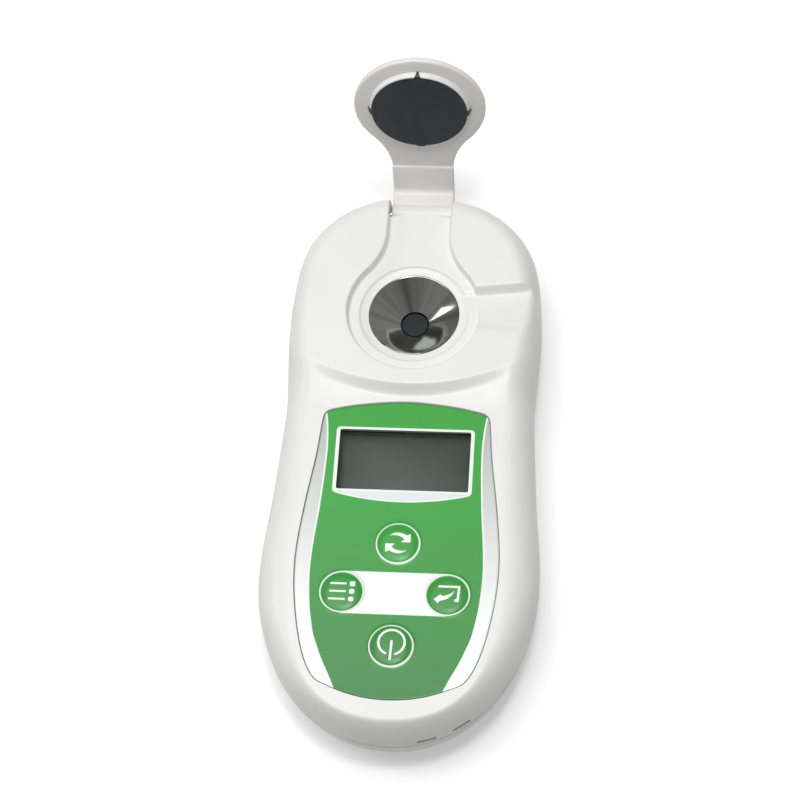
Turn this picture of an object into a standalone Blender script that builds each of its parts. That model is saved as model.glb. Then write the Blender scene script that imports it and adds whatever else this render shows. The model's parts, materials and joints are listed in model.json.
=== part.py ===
"""Handheld digital refractometer with a flip cover, modelled as a bench assembly.

The instrument lies on its flat back. +Y points to the cover's hinge, +Z out of the display side, and the
origin is on the back face. Lengths below are in millimetres and MM turns them into Blender's metres.
"""
import math

import bmesh
import bpy
from mathutils import Matrix, Vector

MM = 0.001
GAP = 0.3                    # clearance between neighbouring pieces

# Body shape: three half outlines, x >= 0, from the chin round to the hinge end
WIDEST = [(0, -62.4), (12.1, -59.4), (22.2, -50.3), (28.0, -36.5), (29.1, -24), (27.7, -8),
          (26.4, 12.4), (26.6, 17.0), (27.2, 34), (24.6, 51), (14.5, 61.0), (0, 63.6)]
FACE = [(0, -60.2), (10.5, -58.0), (18.0, -50.5), (21.6, -38), (22.2, -24), (20.9, -8),
        (20.6, 12.4), (21.2, 17.0), (22.6, 34), (20.0, 48), (11.8, 56.2), (0, 58.4)]
BACK = [(0, -54.5), (9.5, -52.0), (16.0, -45.0), (19.8, -33), (20.6, -23), (19.4, -8),
        (18.6, 12.4), (18.7, 17.0), (19.2, 33), (17.0, 46), (10.5, 53.3), (0, 55.5)]
OUTLINE_STEPS = 3            # straight steps between two outline points
WIDEST_Z = 12.5
SPLIT_Z = 11.6               # parting plane of the two housings
PANEL_Z = 21.5               # face around the keypad
HEAD_Z = 23.8                # higher face around the sample well
STEP_Y = (12.4, 17.0)        # the face climbs from panel to head between these
CEILING_Z = 19.2             # inside of the front housing
WALL = 2.0

# Sample well and cover
WELL_Y = 32.4
WELL_RIM_R = 9.27
WELL_RIM_Z = 21.2
FLANGE_Z = (16.0, 17.4)
PRISM_R = 3.1
PRISM_Z = 16.9
DISH_R = 11.6
SEAT_Z = 21.9                # floor of the cover's recess
RECESS_R = 14.45
NECK_HALF = 7.0
NECK_FILLET = 15.0
CHANNEL_Z = 21.2
PLATE_Z = (22.9, 24.4)       # the closed cover's disc
CHANNEL_Y = (27.2, 38.6)
CHANNEL_FLARE = 1.4
HINGE_Y = 60.0
HINGE_Z = 16.6
OPEN_DEG = 99.85
PIN_R = 1.0
BARREL_R = 2.3
SLOT_Z = 12.9

# Keypad and display
OVERLAY_FLOOR_Z = 20.45
OVERLAY_Z = (20.75, 21.05)
OVERLAY_STEPS = 2
OVERLAY = [(0, -55.8), (6.5, -55.1), (12.6, -53.0), (15.6, -51.0), (18.2, -45.0), (20.2, -35.0),
           (20.8, -25), (19.8, -13.5), (18.3, -2.5), (17.6, 4.0), (17.3, 8.1), (9.0, 10.2), (0, 11.0)]
KEY_SPOTS = {"refresh": (0.0, -21.5), "menu": (-10.8, -32.7), "enter": (10.8, -32.7), "power": (0.0, -44.2)}
KEY_R = 4.15
KEY_TRAVEL = 0.5
STEM_R = 1.7
WINDOW = (-13.75, 13.75, -9.4, 4.5)

# Inside
BOARD = (-17.2, 17.2, -52.0, 13.4)
BOARD_Z = (14.6, 16.2)
CELL_R = 5.25
CELL_LENGTH = 44.5
CELL_X = 5.6
CELL_Z = 7.8
TRAY = (-11.6, 11.6, -48.5, 3.0)
TRAY_Z = (1.8, 13.4)
TRAY_WALL = 1.5
DOOR = (-12.6, 12.6, -50.2, -3.0)
DOOR_AXIS = (-50.05, 0.1)     # y and z of the line that the door tilts about
SCREW_POSTS = [(-20.0, -37.5), (20.0, -37.5), (-19.0, 44.5), (19.0, 44.5)]
BOARD_SCREWS = [(-15.2, -49.3), (15.2, -49.3), (-15.2, 11.2), (15.2, 11.2)]
LED_SLOPE_DEG = 35.0
STRAP_BLOCK = [(3.6, -60.9), (9.5, -59.4), (14.6, -56.5), (17.6, -54.0), (17.6, -52.6), (3.6, -54.6)]


# ---------------------------------------------------------------- helpers
def material(name, rgb, roughness, metallic=0.0, alpha=1.0):
    """A Principled material with the piece's own colour and finish."""
    mat = bpy.data.materials.new(name)
    mat.use_nodes = True
    shader = mat.node_tree.nodes["Principled BSDF"]
    shader.inputs["Base Color"].default_value = (*rgb, 1.0)
    shader.inputs["Roughness"].default_value = roughness
    shader.inputs["Metallic"].default_value = metallic
    shader.inputs["Alpha"].default_value = alpha
    mat.diffuse_color = (*rgb, alpha)
    return mat


def finish(bm, name, mat, smooth_deg=35):
    """Turn a bmesh in millimetres into a scene object in metres."""
    bmesh.ops.recalc_face_normals(bm, faces=bm.faces)
    bmesh.ops.scale(bm, vec=(MM, MM, MM), verts=bm.verts)
    mesh = bpy.data.meshes.new(name)
    bm.to_mesh(mesh)
    bm.free()
    if mat:
        mesh.materials.append(mat)
    mesh.shade_smooth()
    mesh.set_sharp_from_angle(angle=math.radians(smooth_deg))
    obj = bpy.data.objects.new(name, mesh)
    bpy.context.scene.collection.objects.link(obj)
    return obj


def prism_mesh(outline, z0, z1):
    """An upright solid over a flat outline."""
    bm = bmesh.new()
    low = [bm.verts.new((x, y, z0)) for x, y in outline]
    high = [bm.verts.new((x, y, z1)) for x, y in outline]
    count = len(outline)
    bm.faces.new(low)
    bm.faces.new(high)
    for i in range(count):
        j = (i + 1) % count
        bm.faces.new((low[i], low[j], high[j], high[i]))
    return bm


def prism(name, outline, z0, z1, mat=None):
    return finish(prism_mesh(outline, z0, z1), name, mat)


def box(name, x0, x1, y0, y1, z0, z1, mat=None):
    return prism(name, [(x0, y0), (x1, y0), (x1, y1), (x0, y1)], z0, z1, mat)


def side_prism(name, profile, x0, x1, mat=None):
    """A solid with a (y, z) profile, running along X."""
    bm = prism_mesh(profile, x0, x1)
    swap = Matrix(((0, 0, 1, 0), (1, 0, 0, 0), (0, 1, 0, 0), (0, 0, 0, 1)))
    bmesh.ops.transform(bm, matrix=swap, verts=bm.verts)
    return finish(bm, name, mat)


def turned(name, profile, centre=(0, 0, 0), mat=None, sides=40, tilt=None):
    """A solid of revolution: profile points are (radius, height); radius 0 closes the solid on its axis."""
    bm = bmesh.new()
    rings = []
    for radius, height in profile:
        if radius == 0:
            rings.append([bm.verts.new((0, 0, height))])
            continue
        turns = [math.tau * k / sides for k in range(sides)]
        ring = [(radius * math.cos(turn), radius * math.sin(turn), height) for turn in turns]
        rings.append([bm.verts.new(point) for point in ring])
    closed = profile[0][0] > 0 and profile[-1][0] > 0
    pairs = list(zip(rings, rings[1:])) + ([(rings[-1], rings[0])] if closed else [])
    for lower, upper in pairs:
        for k in range(sides):
            n = (k + 1) % sides
            corners = [lower[k % len(lower)], lower[n % len(lower)]]
            corners += [upper[n % len(upper)], upper[k % len(upper)]]
            bm.faces.new(list(dict.fromkeys(corners)))
    if tilt is not None:
        bmesh.ops.transform(bm, matrix=tilt, verts=bm.verts)
    bmesh.ops.translate(bm, vec=centre, verts=bm.verts)
    return finish(bm, name, mat)


def rod(name, radius, z0, z1, x=0, y=0, mat=None, sides=24):
    """An upright cylinder."""
    return turned(name, [(0, z0), (radius, z0), (radius, z1), (0, z1)], (x, y, 0), mat, sides)


def along_x(name, radius, x0, x1, y, z, mat=None, sides=24):
    """A cylinder lying along X."""
    tilt = Matrix.Rotation(math.radians(90), 4, "Y")
    return turned(name, [(0, x0), (radius, x0), (radius, x1), (0, x1)], (0, y, z), mat, sides, tilt)


def boolean(obj, other, operation, solver="EXACT"):
    """Apply one boolean and remove the tool."""
    modifier = obj.modifiers.new(operation, "BOOLEAN")
    modifier.operation = operation
    modifier.object = other
    modifier.solver = solver
    bpy.context.view_layer.update()
    evaluated = obj.evaluated_get(bpy.context.evaluated_depsgraph_get())
    mesh = bpy.data.meshes.new_from_object(evaluated)
    old = obj.data
    obj.modifiers.clear()
    obj.data = mesh
    mesh.name = old.name
    mesh.shade_smooth()
    mesh.set_sharp_from_angle(angle=math.radians(35))
    bpy.data.meshes.remove(old)
    tool_mesh = other.data
    bpy.data.objects.remove(other)
    bpy.data.meshes.remove(tool_mesh)
    return obj


def cut(obj, *tools, solver="EXACT"):
    for tool in tools:
        boolean(obj, tool, "DIFFERENCE", solver)
    return obj


def weld(obj, *others):
    for other in others:
        boolean(obj, other, "UNION")
    return obj


def set_origin(obj, x, y, z):
    """Move an object's origin to a point in millimetres without moving its shape."""
    offset = Vector((x, y, z)) * MM
    obj.data.transform(Matrix.Translation(-offset))
    obj.location = offset


# ---------------------------------------------------------------- outlines
def closed_outline(half, steps=OUTLINE_STEPS):
    """A smooth closed curve through a mirrored half outline, by Catmull-Rom interpolation."""
    points = [Vector(p) for p in half] + [Vector((-x, y)) for x, y in half[-2:0:-1]]
    count = len(points)
    curve = []
    for i in range(count):
        before, start, end, after = (points[(i + k) % count] for k in (-1, 0, 1, 2))
        for s in range(steps):
            t = s / steps
            square = 2 * before - 5 * start + 4 * end - after
            cube = 3 * start - before - 3 * end + after
            curve.append(0.5 * (2 * start + (end - before) * t + square * t ** 2 + cube * t ** 3))
    return curve


def inset(curve, distance):
    """Move a counter-clockwise closed curve inwards."""
    count = len(curve)
    moved = []
    for i, point in enumerate(curve):
        along = (curve[(i + 1) % count] - curve[i - 1]).normalized()
        moved.append(point + Vector((-along.y, along.x)) * distance)
    return moved


def face_height(y):
    """Height of the top face: panel level, a smooth rise, then head level."""
    t = min(max((y - STEP_Y[0]) / (STEP_Y[1] - STEP_Y[0]), 0), 1)
    return PANEL_Z + (HEAD_Z - PANEL_Z) * t * t * (3 - 2 * t)


def arc(cx, cy, radius, start_deg, end_deg, steps):
    span = end_deg - start_deg
    return [(cx + radius * math.cos(math.radians(start_deg + span * k / steps)),
             cy + radius * math.sin(math.radians(start_deg + span * k / steps))) for k in range(steps + 1)]


def keyhole(shrink, end_y):
    """Disc, fillets and neck of the flip cover's plan, shrunk by a clearance."""
    radius = RECESS_R - shrink
    half = NECK_HALF - shrink
    fillet = NECK_FILLET + shrink
    reach = half + fillet
    fillet_y = WELL_Y + math.sqrt((radius + fillet) ** 2 - reach ** 2)
    meet_deg = math.degrees(math.atan2(fillet_y - WELL_Y, reach))
    right = arc(reach, fillet_y, fillet, 180 + meet_deg, 180, 4)
    disc = arc(0, WELL_Y, radius, 180 - meet_deg, 360 + meet_deg, 28)[1:-1]
    left = [(-x, y) for x, y in reversed(right)]
    return disc + right + [(half, end_y), (-half, end_y)] + left


def offset_polygon(points, distance):
    """Grow (positive) or shrink a counter-clockwise polygon."""
    return [tuple(p) for p in inset([Vector(p) for p in points], -distance)]


# ---------------------------------------------------------------- housings
def quarter(outer, inner, z_outer, heights, angles):
    """Rings of an elliptical shoulder between two matching outlines."""
    rings = []
    for angle in angles:
        c, s = math.cos(math.radians(angle)), math.sin(math.radians(angle))
        rings.append([(i.x + (o.x - i.x) * c, i.y + (o.y - i.y) * c, z_outer + (h - z_outer) * s)
                      for o, i, h in zip(outer, inner, heights)])
    return rings


def shell(name, outer_rings, inner_rings, mat):
    """A bowl: outer skin, inner skin, a rim between their first rings and ladder caps on their last rings."""
    bm = bmesh.new()
    skins = [[[bm.verts.new(p) for p in ring] for ring in rings] for rings in (outer_rings, inner_rings)]
    count = len(outer_rings[0])
    for skin in skins:
        for low, high in zip(skin, skin[1:]):
            for k in range(count):
                n = (k + 1) % count
                bm.faces.new((low[k], low[n], high[n], high[k]))
        cap = skin[-1]
        bm.faces.new((cap[0], cap[1], cap[-1]))
        for k in range(1, count // 2 - 1):
            bm.faces.new((cap[k], cap[k + 1], cap[-k - 1], cap[-k]))
        middle = count // 2
        bm.faces.new((cap[middle - 1], cap[middle], cap[middle + 1]))
    for k in range(count):
        n = (k + 1) % count
        bm.faces.new((skins[0][0][k], skins[0][0][n], skins[1][0][n], skins[1][0][k]))
    return finish(bm, name, mat)


def front_shell(mat):
    wide, face = closed_outline(WIDEST), closed_outline(FACE)
    heights = [face_height(p.y) for p in face]
    start = (wide, face, WIDEST_Z)
    straight = [[(p.x, p.y, SPLIT_Z + GAP / 2) for p in wide]]
    outer = straight + quarter(*start, heights, (0, 28, 50, 66, 79, 90))
    wide_in, face_in = inset(wide, WALL), inset(face, WALL)
    low_heights = [CEILING_Z] * len(face_in)
    straight_in = [[(p.x, p.y, SPLIT_Z + GAP / 2) for p in wide_in]]
    inner = straight_in + quarter(wide_in, face_in, WIDEST_Z, low_heights, (0, 45, 90))
    return shell("front_housing", outer, inner, mat)


def rear_shell(mat):
    wide, back = closed_outline(WIDEST), closed_outline(BACK)
    ground = [0.0] * len(back)
    top = math.degrees(math.asin((WIDEST_Z - SPLIT_Z + GAP / 2) / WIDEST_Z))
    outer = quarter(wide, back, WIDEST_Z, ground, (top, 28, 48, 68, 90))
    wide_in, back_in = inset(wide, WALL), inset(back, WALL)
    floor = [WALL] * len(back)
    inner_depth = WIDEST_Z - WALL
    top_in = math.degrees(math.asin((WIDEST_Z - SPLIT_Z + GAP / 2) / inner_depth))
    inner = quarter(wide_in, back_in, WIDEST_Z, floor, (top_in, 45, 90))
    return shell("rear_housing", outer, inner, mat)


def front_housing(mat):
    housing = front_shell(mat)
    # solid cheeks around the hinge, pillars for screws and boards, and the strap bar's block
    cheek = [(54.6, SPLIT_Z + GAP / 2), (61.6, SPLIT_Z + GAP / 2), (61.6, 17.4), (59.6, 20.2), (54.6, 20.4)]
    weld(housing, side_prism("cheeks", cheek, -10.4, 10.4))
    for x, y in SCREW_POSTS:
        weld(housing, rod("post", 2.5, SPLIT_Z + GAP / 2, CEILING_Z + 0.4, x, y, sides=12))
    for x, y in BOARD_SCREWS:
        weld(housing, rod("post", 2.0, BOARD_Z[1] + GAP, CEILING_Z + 0.4, x, y, sides=10))
    weld(housing, prism("strap_block", STRAP_BLOCK, SPLIT_Z + GAP / 2, 16.4))
    # cover recess, dish and finger channel
    cut(housing, prism("recess", keyhole(0, 70.0), SEAT_Z, 26))
    dish = [(0, 18.0), (9.95, 18.0), (9.95, WELL_RIM_Z), (DISH_R, SEAT_Z + 0.01), (DISH_R, 26), (0, 26)]
    cut(housing, turned("dish", dish, (0, WELL_Y, 0), sides=32))
    low_y, high_y = CHANNEL_Y
    channel = [(8.0, low_y), (34.0, low_y - CHANNEL_FLARE), (34.0, high_y + CHANNEL_FLARE), (8.0, high_y)]
    cut(housing, prism("channel", channel, CHANNEL_Z, 26))
    # keypad recess, display opening and key pockets
    seat = offset_polygon(closed_outline(OVERLAY, OVERLAY_STEPS), GAP)
    cut(housing, prism("overlay_seat", seat, OVERLAY_FLOOR_Z, 26))
    x0, x1, y0, y1 = WINDOW
    edge = 0.65
    cut(housing, box("display_opening", x0 - edge, x1 + edge, y0 - edge, y1 + edge, 15, 26))
    for x, y in KEY_SPOTS.values():
        pocket = [(0, 15), (STEM_R + 0.4, 15), (STEM_R + 0.4, OVERLAY_Z[0] - KEY_TRAVEL - 0.25),
                  (KEY_R + 0.45, OVERLAY_Z[0] - KEY_TRAVEL - 0.25), (KEY_R + 0.45, 26), (0, 26)]
        cut(housing, turned("key_pocket", pocket, (x, y, 0), sides=20))
    # hinge slot and pin bore
    cut(housing, box("hinge_slot", -NECK_HALF, NECK_HALF, 56.6, 70, SLOT_Z, 26))
    cut(housing, along_x("pin_bore", PIN_R + 0.05, -9.2, 9.2, HINGE_Y, HINGE_Z, sides=16))
    # pilot holes and the strap bar's tunnel
    for x, y in SCREW_POSTS:
        cut(housing, rod("pilot", 1.35, SPLIT_Z - 1, 18.3, x, y, sides=10))
    for x, y in BOARD_SCREWS:
        cut(housing, rod("pilot", 1.2, BOARD_Z[1], 18.0, x, y, sides=8))
    return cut(housing, strap_tunnel())


def strap_tunnel():
    """A U-shaped passage: two slots in the end wall that meet behind a bar."""
    slots = []
    for x, y, turn in ((7.6, -60.4, 17), (14.6, -57.4, 29)):
        slot = box("slot", -2.0, 2.0, -4.0, 3.0, -0.65, 0.65)
        slot.data.transform(Matrix.Rotation(math.radians(turn), 4, "Z"))
        slot.data.transform(Matrix.Translation(Vector((x, y, WIDEST_Z + 0.6)) * MM))
        slots.append(slot)
    bridge = box("bridge", -5.4, 5.4, -0.9, 0.9, -0.6, 0.6)
    bridge.data.transform(Matrix.Rotation(math.radians(22), 4, "Z"))
    bridge.data.transform(Matrix.Translation(Vector((10.4, -57.3, WIDEST_Z + 0.6)) * MM))
    return weld(bridge, *slots)


def rear_housing(mat):
    housing = rear_shell(mat)
    x0, x1, y0, y1 = TRAY
    roof = TRAY_Z[1] + 0.8
    weld(housing, box("tray", x0 - TRAY_WALL, x1 + TRAY_WALL, y0 - TRAY_WALL, y1 + TRAY_WALL, 1.0, roof))
    for x, y in SCREW_POSTS:
        weld(housing, rod("post", 3.4, 2.6, SPLIT_Z - GAP / 2, x, y, sides=12))
    dx0, dx1, dy0, dy1 = DOOR
    cut(housing, box("door_opening", dx0, dx1, dy0, dy1, -2, 1.9))
    cut(housing, box("tray_space", x0, x1, y0, y1, *TRAY_Z))
    # slots for the door's two tongues
    for x in (-7.5, 7.5):
        cut(housing, box("tongue_slot", x - 2.3, x + 2.3, -52.6, y0 + GAP, 1.1, 3.3))
    for x, y in SCREW_POSTS:
        bore = [(0, -2), (2.6, -2), (2.6, 6.4), (1.5, 6.4), (1.5, SPLIT_Z + 1), (0, SPLIT_Z + 1)]
        cut(housing, turned("screw_bore", bore, (x, y, 0), sides=12), solver="MANIFOLD")
    for x in (-CELL_X, CELL_X):
        tab = box("tab_slot", x - 1.4, x + 1.4, y0 - 0.1, y0 + 1.1, TRAY_Z[1] - 1, roof + 1)
        cut(housing, tab, solver="MANIFOLD")
    wide = closed_outline(WIDEST)
    groove = band("seal_groove", inset(wide, 0.45), inset(wide, 1.6), SPLIT_Z - 1.2, SPLIT_Z + 1)
    return cut(housing, groove, solver="MANIFOLD")


def band(name, outer, inner, z0, z1, mat=None):
    """A closed strip between two matching outlines."""
    bm = bmesh.new()
    rings = [[bm.verts.new((p.x, p.y, z)) for p in curve]
             for curve, z in ((outer, z0), (outer, z1), (inner, z1), (inner, z0))]
    count = len(outer)
    for a, b in zip(rings, rings[1:] + rings[:1]):
        for k in range(count):
            n = (k + 1) % count
            bm.faces.new((a[k], a[n], b[n], b[k]))
    return finish(bm, name, mat)


def housing_seal(mat):
    wide = closed_outline(WIDEST)
    return band("housing_seal", inset(wide, 0.75), inset(wide, 1.3), SPLIT_Z - 0.9, SPLIT_Z, mat)


# ---------------------------------------------------------------- keypad and display
def keypad_overlay(mat):
    outline = [tuple(p) for p in closed_outline(OVERLAY, OVERLAY_STEPS)]
    overlay = prism("keypad_overlay", outline, *OVERLAY_Z, mat)
    x0, x1, y0, y1 = WINDOW
    cut(overlay, box("window_hole", x0, x1, y0, y1, 15, 26))
    for x, y in KEY_SPOTS.values():
        cut(overlay, rod("key_hole", KEY_R + GAP, 15, 26, x, y, sides=20))
    return overlay


def key_cap(name, x, y, mat):
    """A slightly domed cap with a stem that reaches the switch."""
    top = OVERLAY_Z[1] + 0.25
    profile = [(0, 18.6 + 1.3), (STEM_R, 18.6 + 1.3), (STEM_R, OVERLAY_Z[0]), (KEY_R, OVERLAY_Z[0]),
               (KEY_R, top - 0.15), (KEY_R - 0.3, top), (0, top)]
    cap = turned(name, profile, (x, y, 0), mat, sides=20)
    set_origin(cap, x, y, OVERLAY_Z[1])
    return cap


def key_plunger(name, x, y, mat):
    plunger = rod(name, 1.5, 18.55, 19.6, x, y, mat, sides=12)
    set_origin(plunger, x, y, 18.55)
    return plunger


def switch_body(name, x, y, mat):
    half = 3.0
    return box(name, x - half, x + half, y - half, y + half, BOARD_Z[1] + GAP, 17.9, mat)


def display_parts(clear, glass, plastic, silver, rubber):
    x0, x1, y0, y1 = WINDOW
    box("display_window", x0 - 0.35, x1 + 0.35, y0 - 0.35, y1 + 0.35, 19.2, 20.2, clear)
    box("display_glass", -15.5, 15.5, -11.8, 7.0, 17.3, 18.6, glass)
    box("display_reflector", -15.2, 15.2, -9.7, 4.9, 16.6, 17.0, silver)
    holder = box("display_holder", -16.6, 16.6, -13.0, 8.3, 16.5, 18.4, plastic)
    cut(holder, box("glass_space", -15.8, 15.8, -12.1, 7.3, 15, 20))
    for end, y in (("lower", -11.5), ("upper", 5.5)):
        box(end + "_contact_strip", -15.0, 15.0, y, y + 1.2, 16.5, 17.0, rubber)


# ---------------------------------------------------------------- boards
def main_board(mat):
    x0, x1, y0, y1 = BOARD
    board = box("main_board", x0, x1, y0, y1, *BOARD_Z, mat)
    for x, y in BOARD_SCREWS:
        cut(board, rod("hole", 1.2, 12, 20, x, y, sides=8))
    for x in (-CELL_X, CELL_X):
        cut(board, box("tab_hole", x - 1.4, x + 1.4, -48.6, -47.4, 12, 20))
    return board


def board_pieces(black, silver, ceramic, steel):
    top = BOARD_Z[1] + GAP
    box("controller_chip", -3.5, 3.5, -36.2, -29.2, top, 17.5, black)
    box("clock_crystal", -12.5, -5.0, -20.0, -17.0, top, 18.2, silver)
    box("storage_capacitor", 6.0, 12.5, -20.0, -16.2, top, 18.6, ceramic)
    low = BOARD_Z[0] - GAP
    for number, (x, y) in enumerate(BOARD_SCREWS, 1):
        screw(f"board_screw_{number}", x, y, (low - 1.1, low, 17.7), 1.8, 0.85, steel)


def screw(name, x, y, heights, head_r, shank_r, mat):
    """An upright screw with its head down: heights are the head's bottom, the shank's start and its tip."""
    z0, z_shank, z1 = heights
    profile = [(0, z0), (head_r, z0), (head_r, z_shank), (shank_r, z_shank), (shank_r, z1), (0, z1)]
    return turned(name, profile, (x, y, 0), mat, 10)


def housing_screws(mat):
    for number, (x, y) in enumerate(SCREW_POSTS, 1):
        screw(f"housing_screw_{number}", x, y, (4.2, 6.1, 17.6), 2.2, 1.1, mat)


# ---------------------------------------------------------------- batteries
def battery(name, x, nub_y, direction, mat):
    """An AAA cell along Y whose nub points in the given direction."""
    tilt = Matrix.Rotation(math.radians(-90 * direction), 4, "X")
    nub = 1.0
    chamfer = 0.3
    profile = [(0, -CELL_LENGTH), (CELL_R - chamfer, -CELL_LENGTH), (CELL_R, chamfer - CELL_LENGTH),
               (CELL_R, -nub - chamfer), (CELL_R - chamfer, -nub), (1.9, -nub), (1.9, 0), (0, 0)]
    return turned(name, profile, (x, nub_y, CELL_Z), mat, 16, tilt)


def coil_spring(name, x, y0, y1, mat):
    """A short compression spring along Y, wound as one tube with closed ends."""
    turns, sides_per_turn, tube_sides = 3.0, 8, 4
    wire, radius = 0.3, 2.6
    steps = int(turns * sides_per_turn)
    bm = bmesh.new()
    rings = []
    for k in range(steps + 1):
        angle = math.tau * k / sides_per_turn
        y = y0 + wire + (y1 - y0 - 2 * wire) * k / steps
        out = Vector((math.cos(angle), 0, math.sin(angle)))
        centre = Vector((x, y, CELL_Z)) + out * radius
        rings.append([bm.verts.new(centre + out * wire * math.cos(math.tau * s / tube_sides)
                                   + Vector((0, wire * math.sin(math.tau * s / tube_sides), 0)))
                      for s in range(tube_sides)])
    for a, b in zip(rings, rings[1:]):
        for s in range(tube_sides):
            n = (s + 1) % tube_sides
            bm.faces.new((a[s], a[n], b[n], b[s]))
    bm.faces.new(rings[0])
    bm.faces.new(rings[-1])
    return finish(bm, name, mat)


def battery_contacts(mat):
    y0 = TRAY[2]
    for side, x in (("left", -CELL_X), ("right", CELL_X)):
        terminal = box(side + "_battery_terminal", x - 4.2, x + 4.2, y0 + GAP, y0 + 0.7, 4.0, 12.0, mat)
        weld(terminal, box("tab", x - 1.0, x + 1.0, y0 + GAP, y0 + 0.7, 11.0, 16.9))
    box("battery_bridge", -9.6, 9.6, 2.0, 2.4, 4.7, 12.0, mat)


def battery_door(mat):
    """A flat door with two tongues at the chin end and a latch at the other."""
    x0, x1, y0, y1 = DOOR
    door = box("battery_door", x0 + GAP, x1 - GAP, y0 + GAP, y1 - GAP, 0.0, 1.6, mat)
    for x in (-7.5, 7.5):
        weld(door, box("tongue", x - 1.9, x + 1.9, -51.6, -49.0, 1.45, 2.6))
    latch = [(y1 - 1.6, 1.5), (y1 - 0.9, 1.5), (y1 - 0.9, 2.7), (y1 - 0.5, 2.9), (y1 - 0.9, 3.5),
             (y1 - 1.6, 3.5)]
    weld(door, side_prism("latch", latch, -1.8, 1.8))
    for k in range(4):
        y = y1 - 3.6 - 1.6 * k
        cut(door, box("grip", -5, 5, y, y + 0.7, -1, 0.35))
    set_origin(door, 0, *DOOR_AXIS)
    return door


# ---------------------------------------------------------------- optics
def slope_matrix(sign):
    """Turn +Z to point from the prism's face down towards the light (-1) or the sensor (+1)."""
    return Matrix.Rotation(math.radians(-sign * (90 + LED_SLOPE_DEG)), 4, "X")


def optics(steel, glass, black, white, rubber, green, silver, amber):
    y = WELL_Y
    low, high = FLANGE_Z
    cup = [(PRISM_R, PRISM_Z), (WELL_RIM_R, WELL_RIM_Z), (9.65, WELL_RIM_Z), (9.65, high), (12.4, high),
           (12.4, low), (8.4, low), (6.6, low - 1.2), (PRISM_R, low - 1.2)]
    well = turned("sample_well", cup, (0, y, 0), steel, sides=32)
    for x in (-10.6, 10.6):
        cut(well, rod("blind_hole", 1.15, low - 1, low + 1.0, x, y, sides=8))
    seal = [(10.4, high + GAP), (11.9, high + GAP), (11.9, CEILING_Z - GAP), (10.4, CEILING_Z - GAP)]
    turned("well_seal", seal, (0, y, 0), rubber, sides=24)
    top = low - 1.5
    body = side_prism("prism", [(y - 3.0, 8.4), (y + 3.0, 8.4), (y + 6.0, top), (y - 6.0, top)], -4, 4, glass)
    weld(body, rod("sample_face", 2.8, top - 0.8, PRISM_Z - 0.05, 0, y, sides=20))
    block = box("optics_block", -7.6, 7.6, y - 13.2, y + 12.0, 3.4, top, black)
    weld(block, box("ears", -12.6, 12.6, y - 2.4, y + 2.4, top - 1.8, top))
    pocket = [(y - 3.4, 8.0), (y + 3.4, 8.0), (y + 7.1, 16), (y - 7.1, 16)]
    cut(block, side_prism("pocket", pocket, -4.4, 4.4))
    for sign, radius in ((-1, 2.6), (1, 3.0)):
        bore = [(0, 4.0), (radius, 4.0), (radius, 24), (0, 24)]
        cut(block, turned("tunnel", bore, (0, y, PRISM_Z), sides=12, tilt=slope_matrix(sign)))
    for x in (-10.6, 10.6):
        cut(block, rod("ear_hole", 1.2, top - 3, top + 1, x, y, sides=8))
    for side, x in (("left", -10.6), ("right", 10.6)):
        screw(side + "_optics_screw", x, y, (top - 3.2, top - 2.1, low + 0.7), 1.9, 0.85, silver)
    led = [(0, 10.2), (0.9, 10.5), (1.5, 11.4), (1.5, 14.1), (1.9, 14.1), (1.9, 14.7), (0, 14.7)]
    turned("light_led", led, (0, y, PRISM_Z), amber, 12, slope_matrix(-1))
    lens = [(0, 8.1), (1.6, 8.4), (2.2, 8.9), (2.2, 9.8), (0, 9.8)]
    turned("collimating_lens", lens, (0, y, PRISM_Z), glass, 14, slope_matrix(-1))
    box("led_board", -6.5, 6.5, y - 14.6, y - 13.6, 3.6, 13.0, green)
    box("image_sensor", -5.0, 5.0, y + 12.3, y + 13.8, 6.0, 12.6, black)
    box("sensor_board", -7.5, 7.5, y + 14.1, y + 15.1, 3.6, 14.4, green)
    rod("temperature_probe", 1.3, low - 3.2, low - GAP, -9.8, y + 6.8, silver, 12)
    strip = [(46.9, 3.2), (46.9, 2.6), (12.0, 2.6), (9.4, 5.2), (9.4, 14.2), (9.1, 14.2), (9.1, 5.0),
             (11.9, 2.3), (47.2, 2.3), (47.2, 3.2)]
    side_prism("ribbon_cable", strip, -3.5, 3.5, white)


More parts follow.
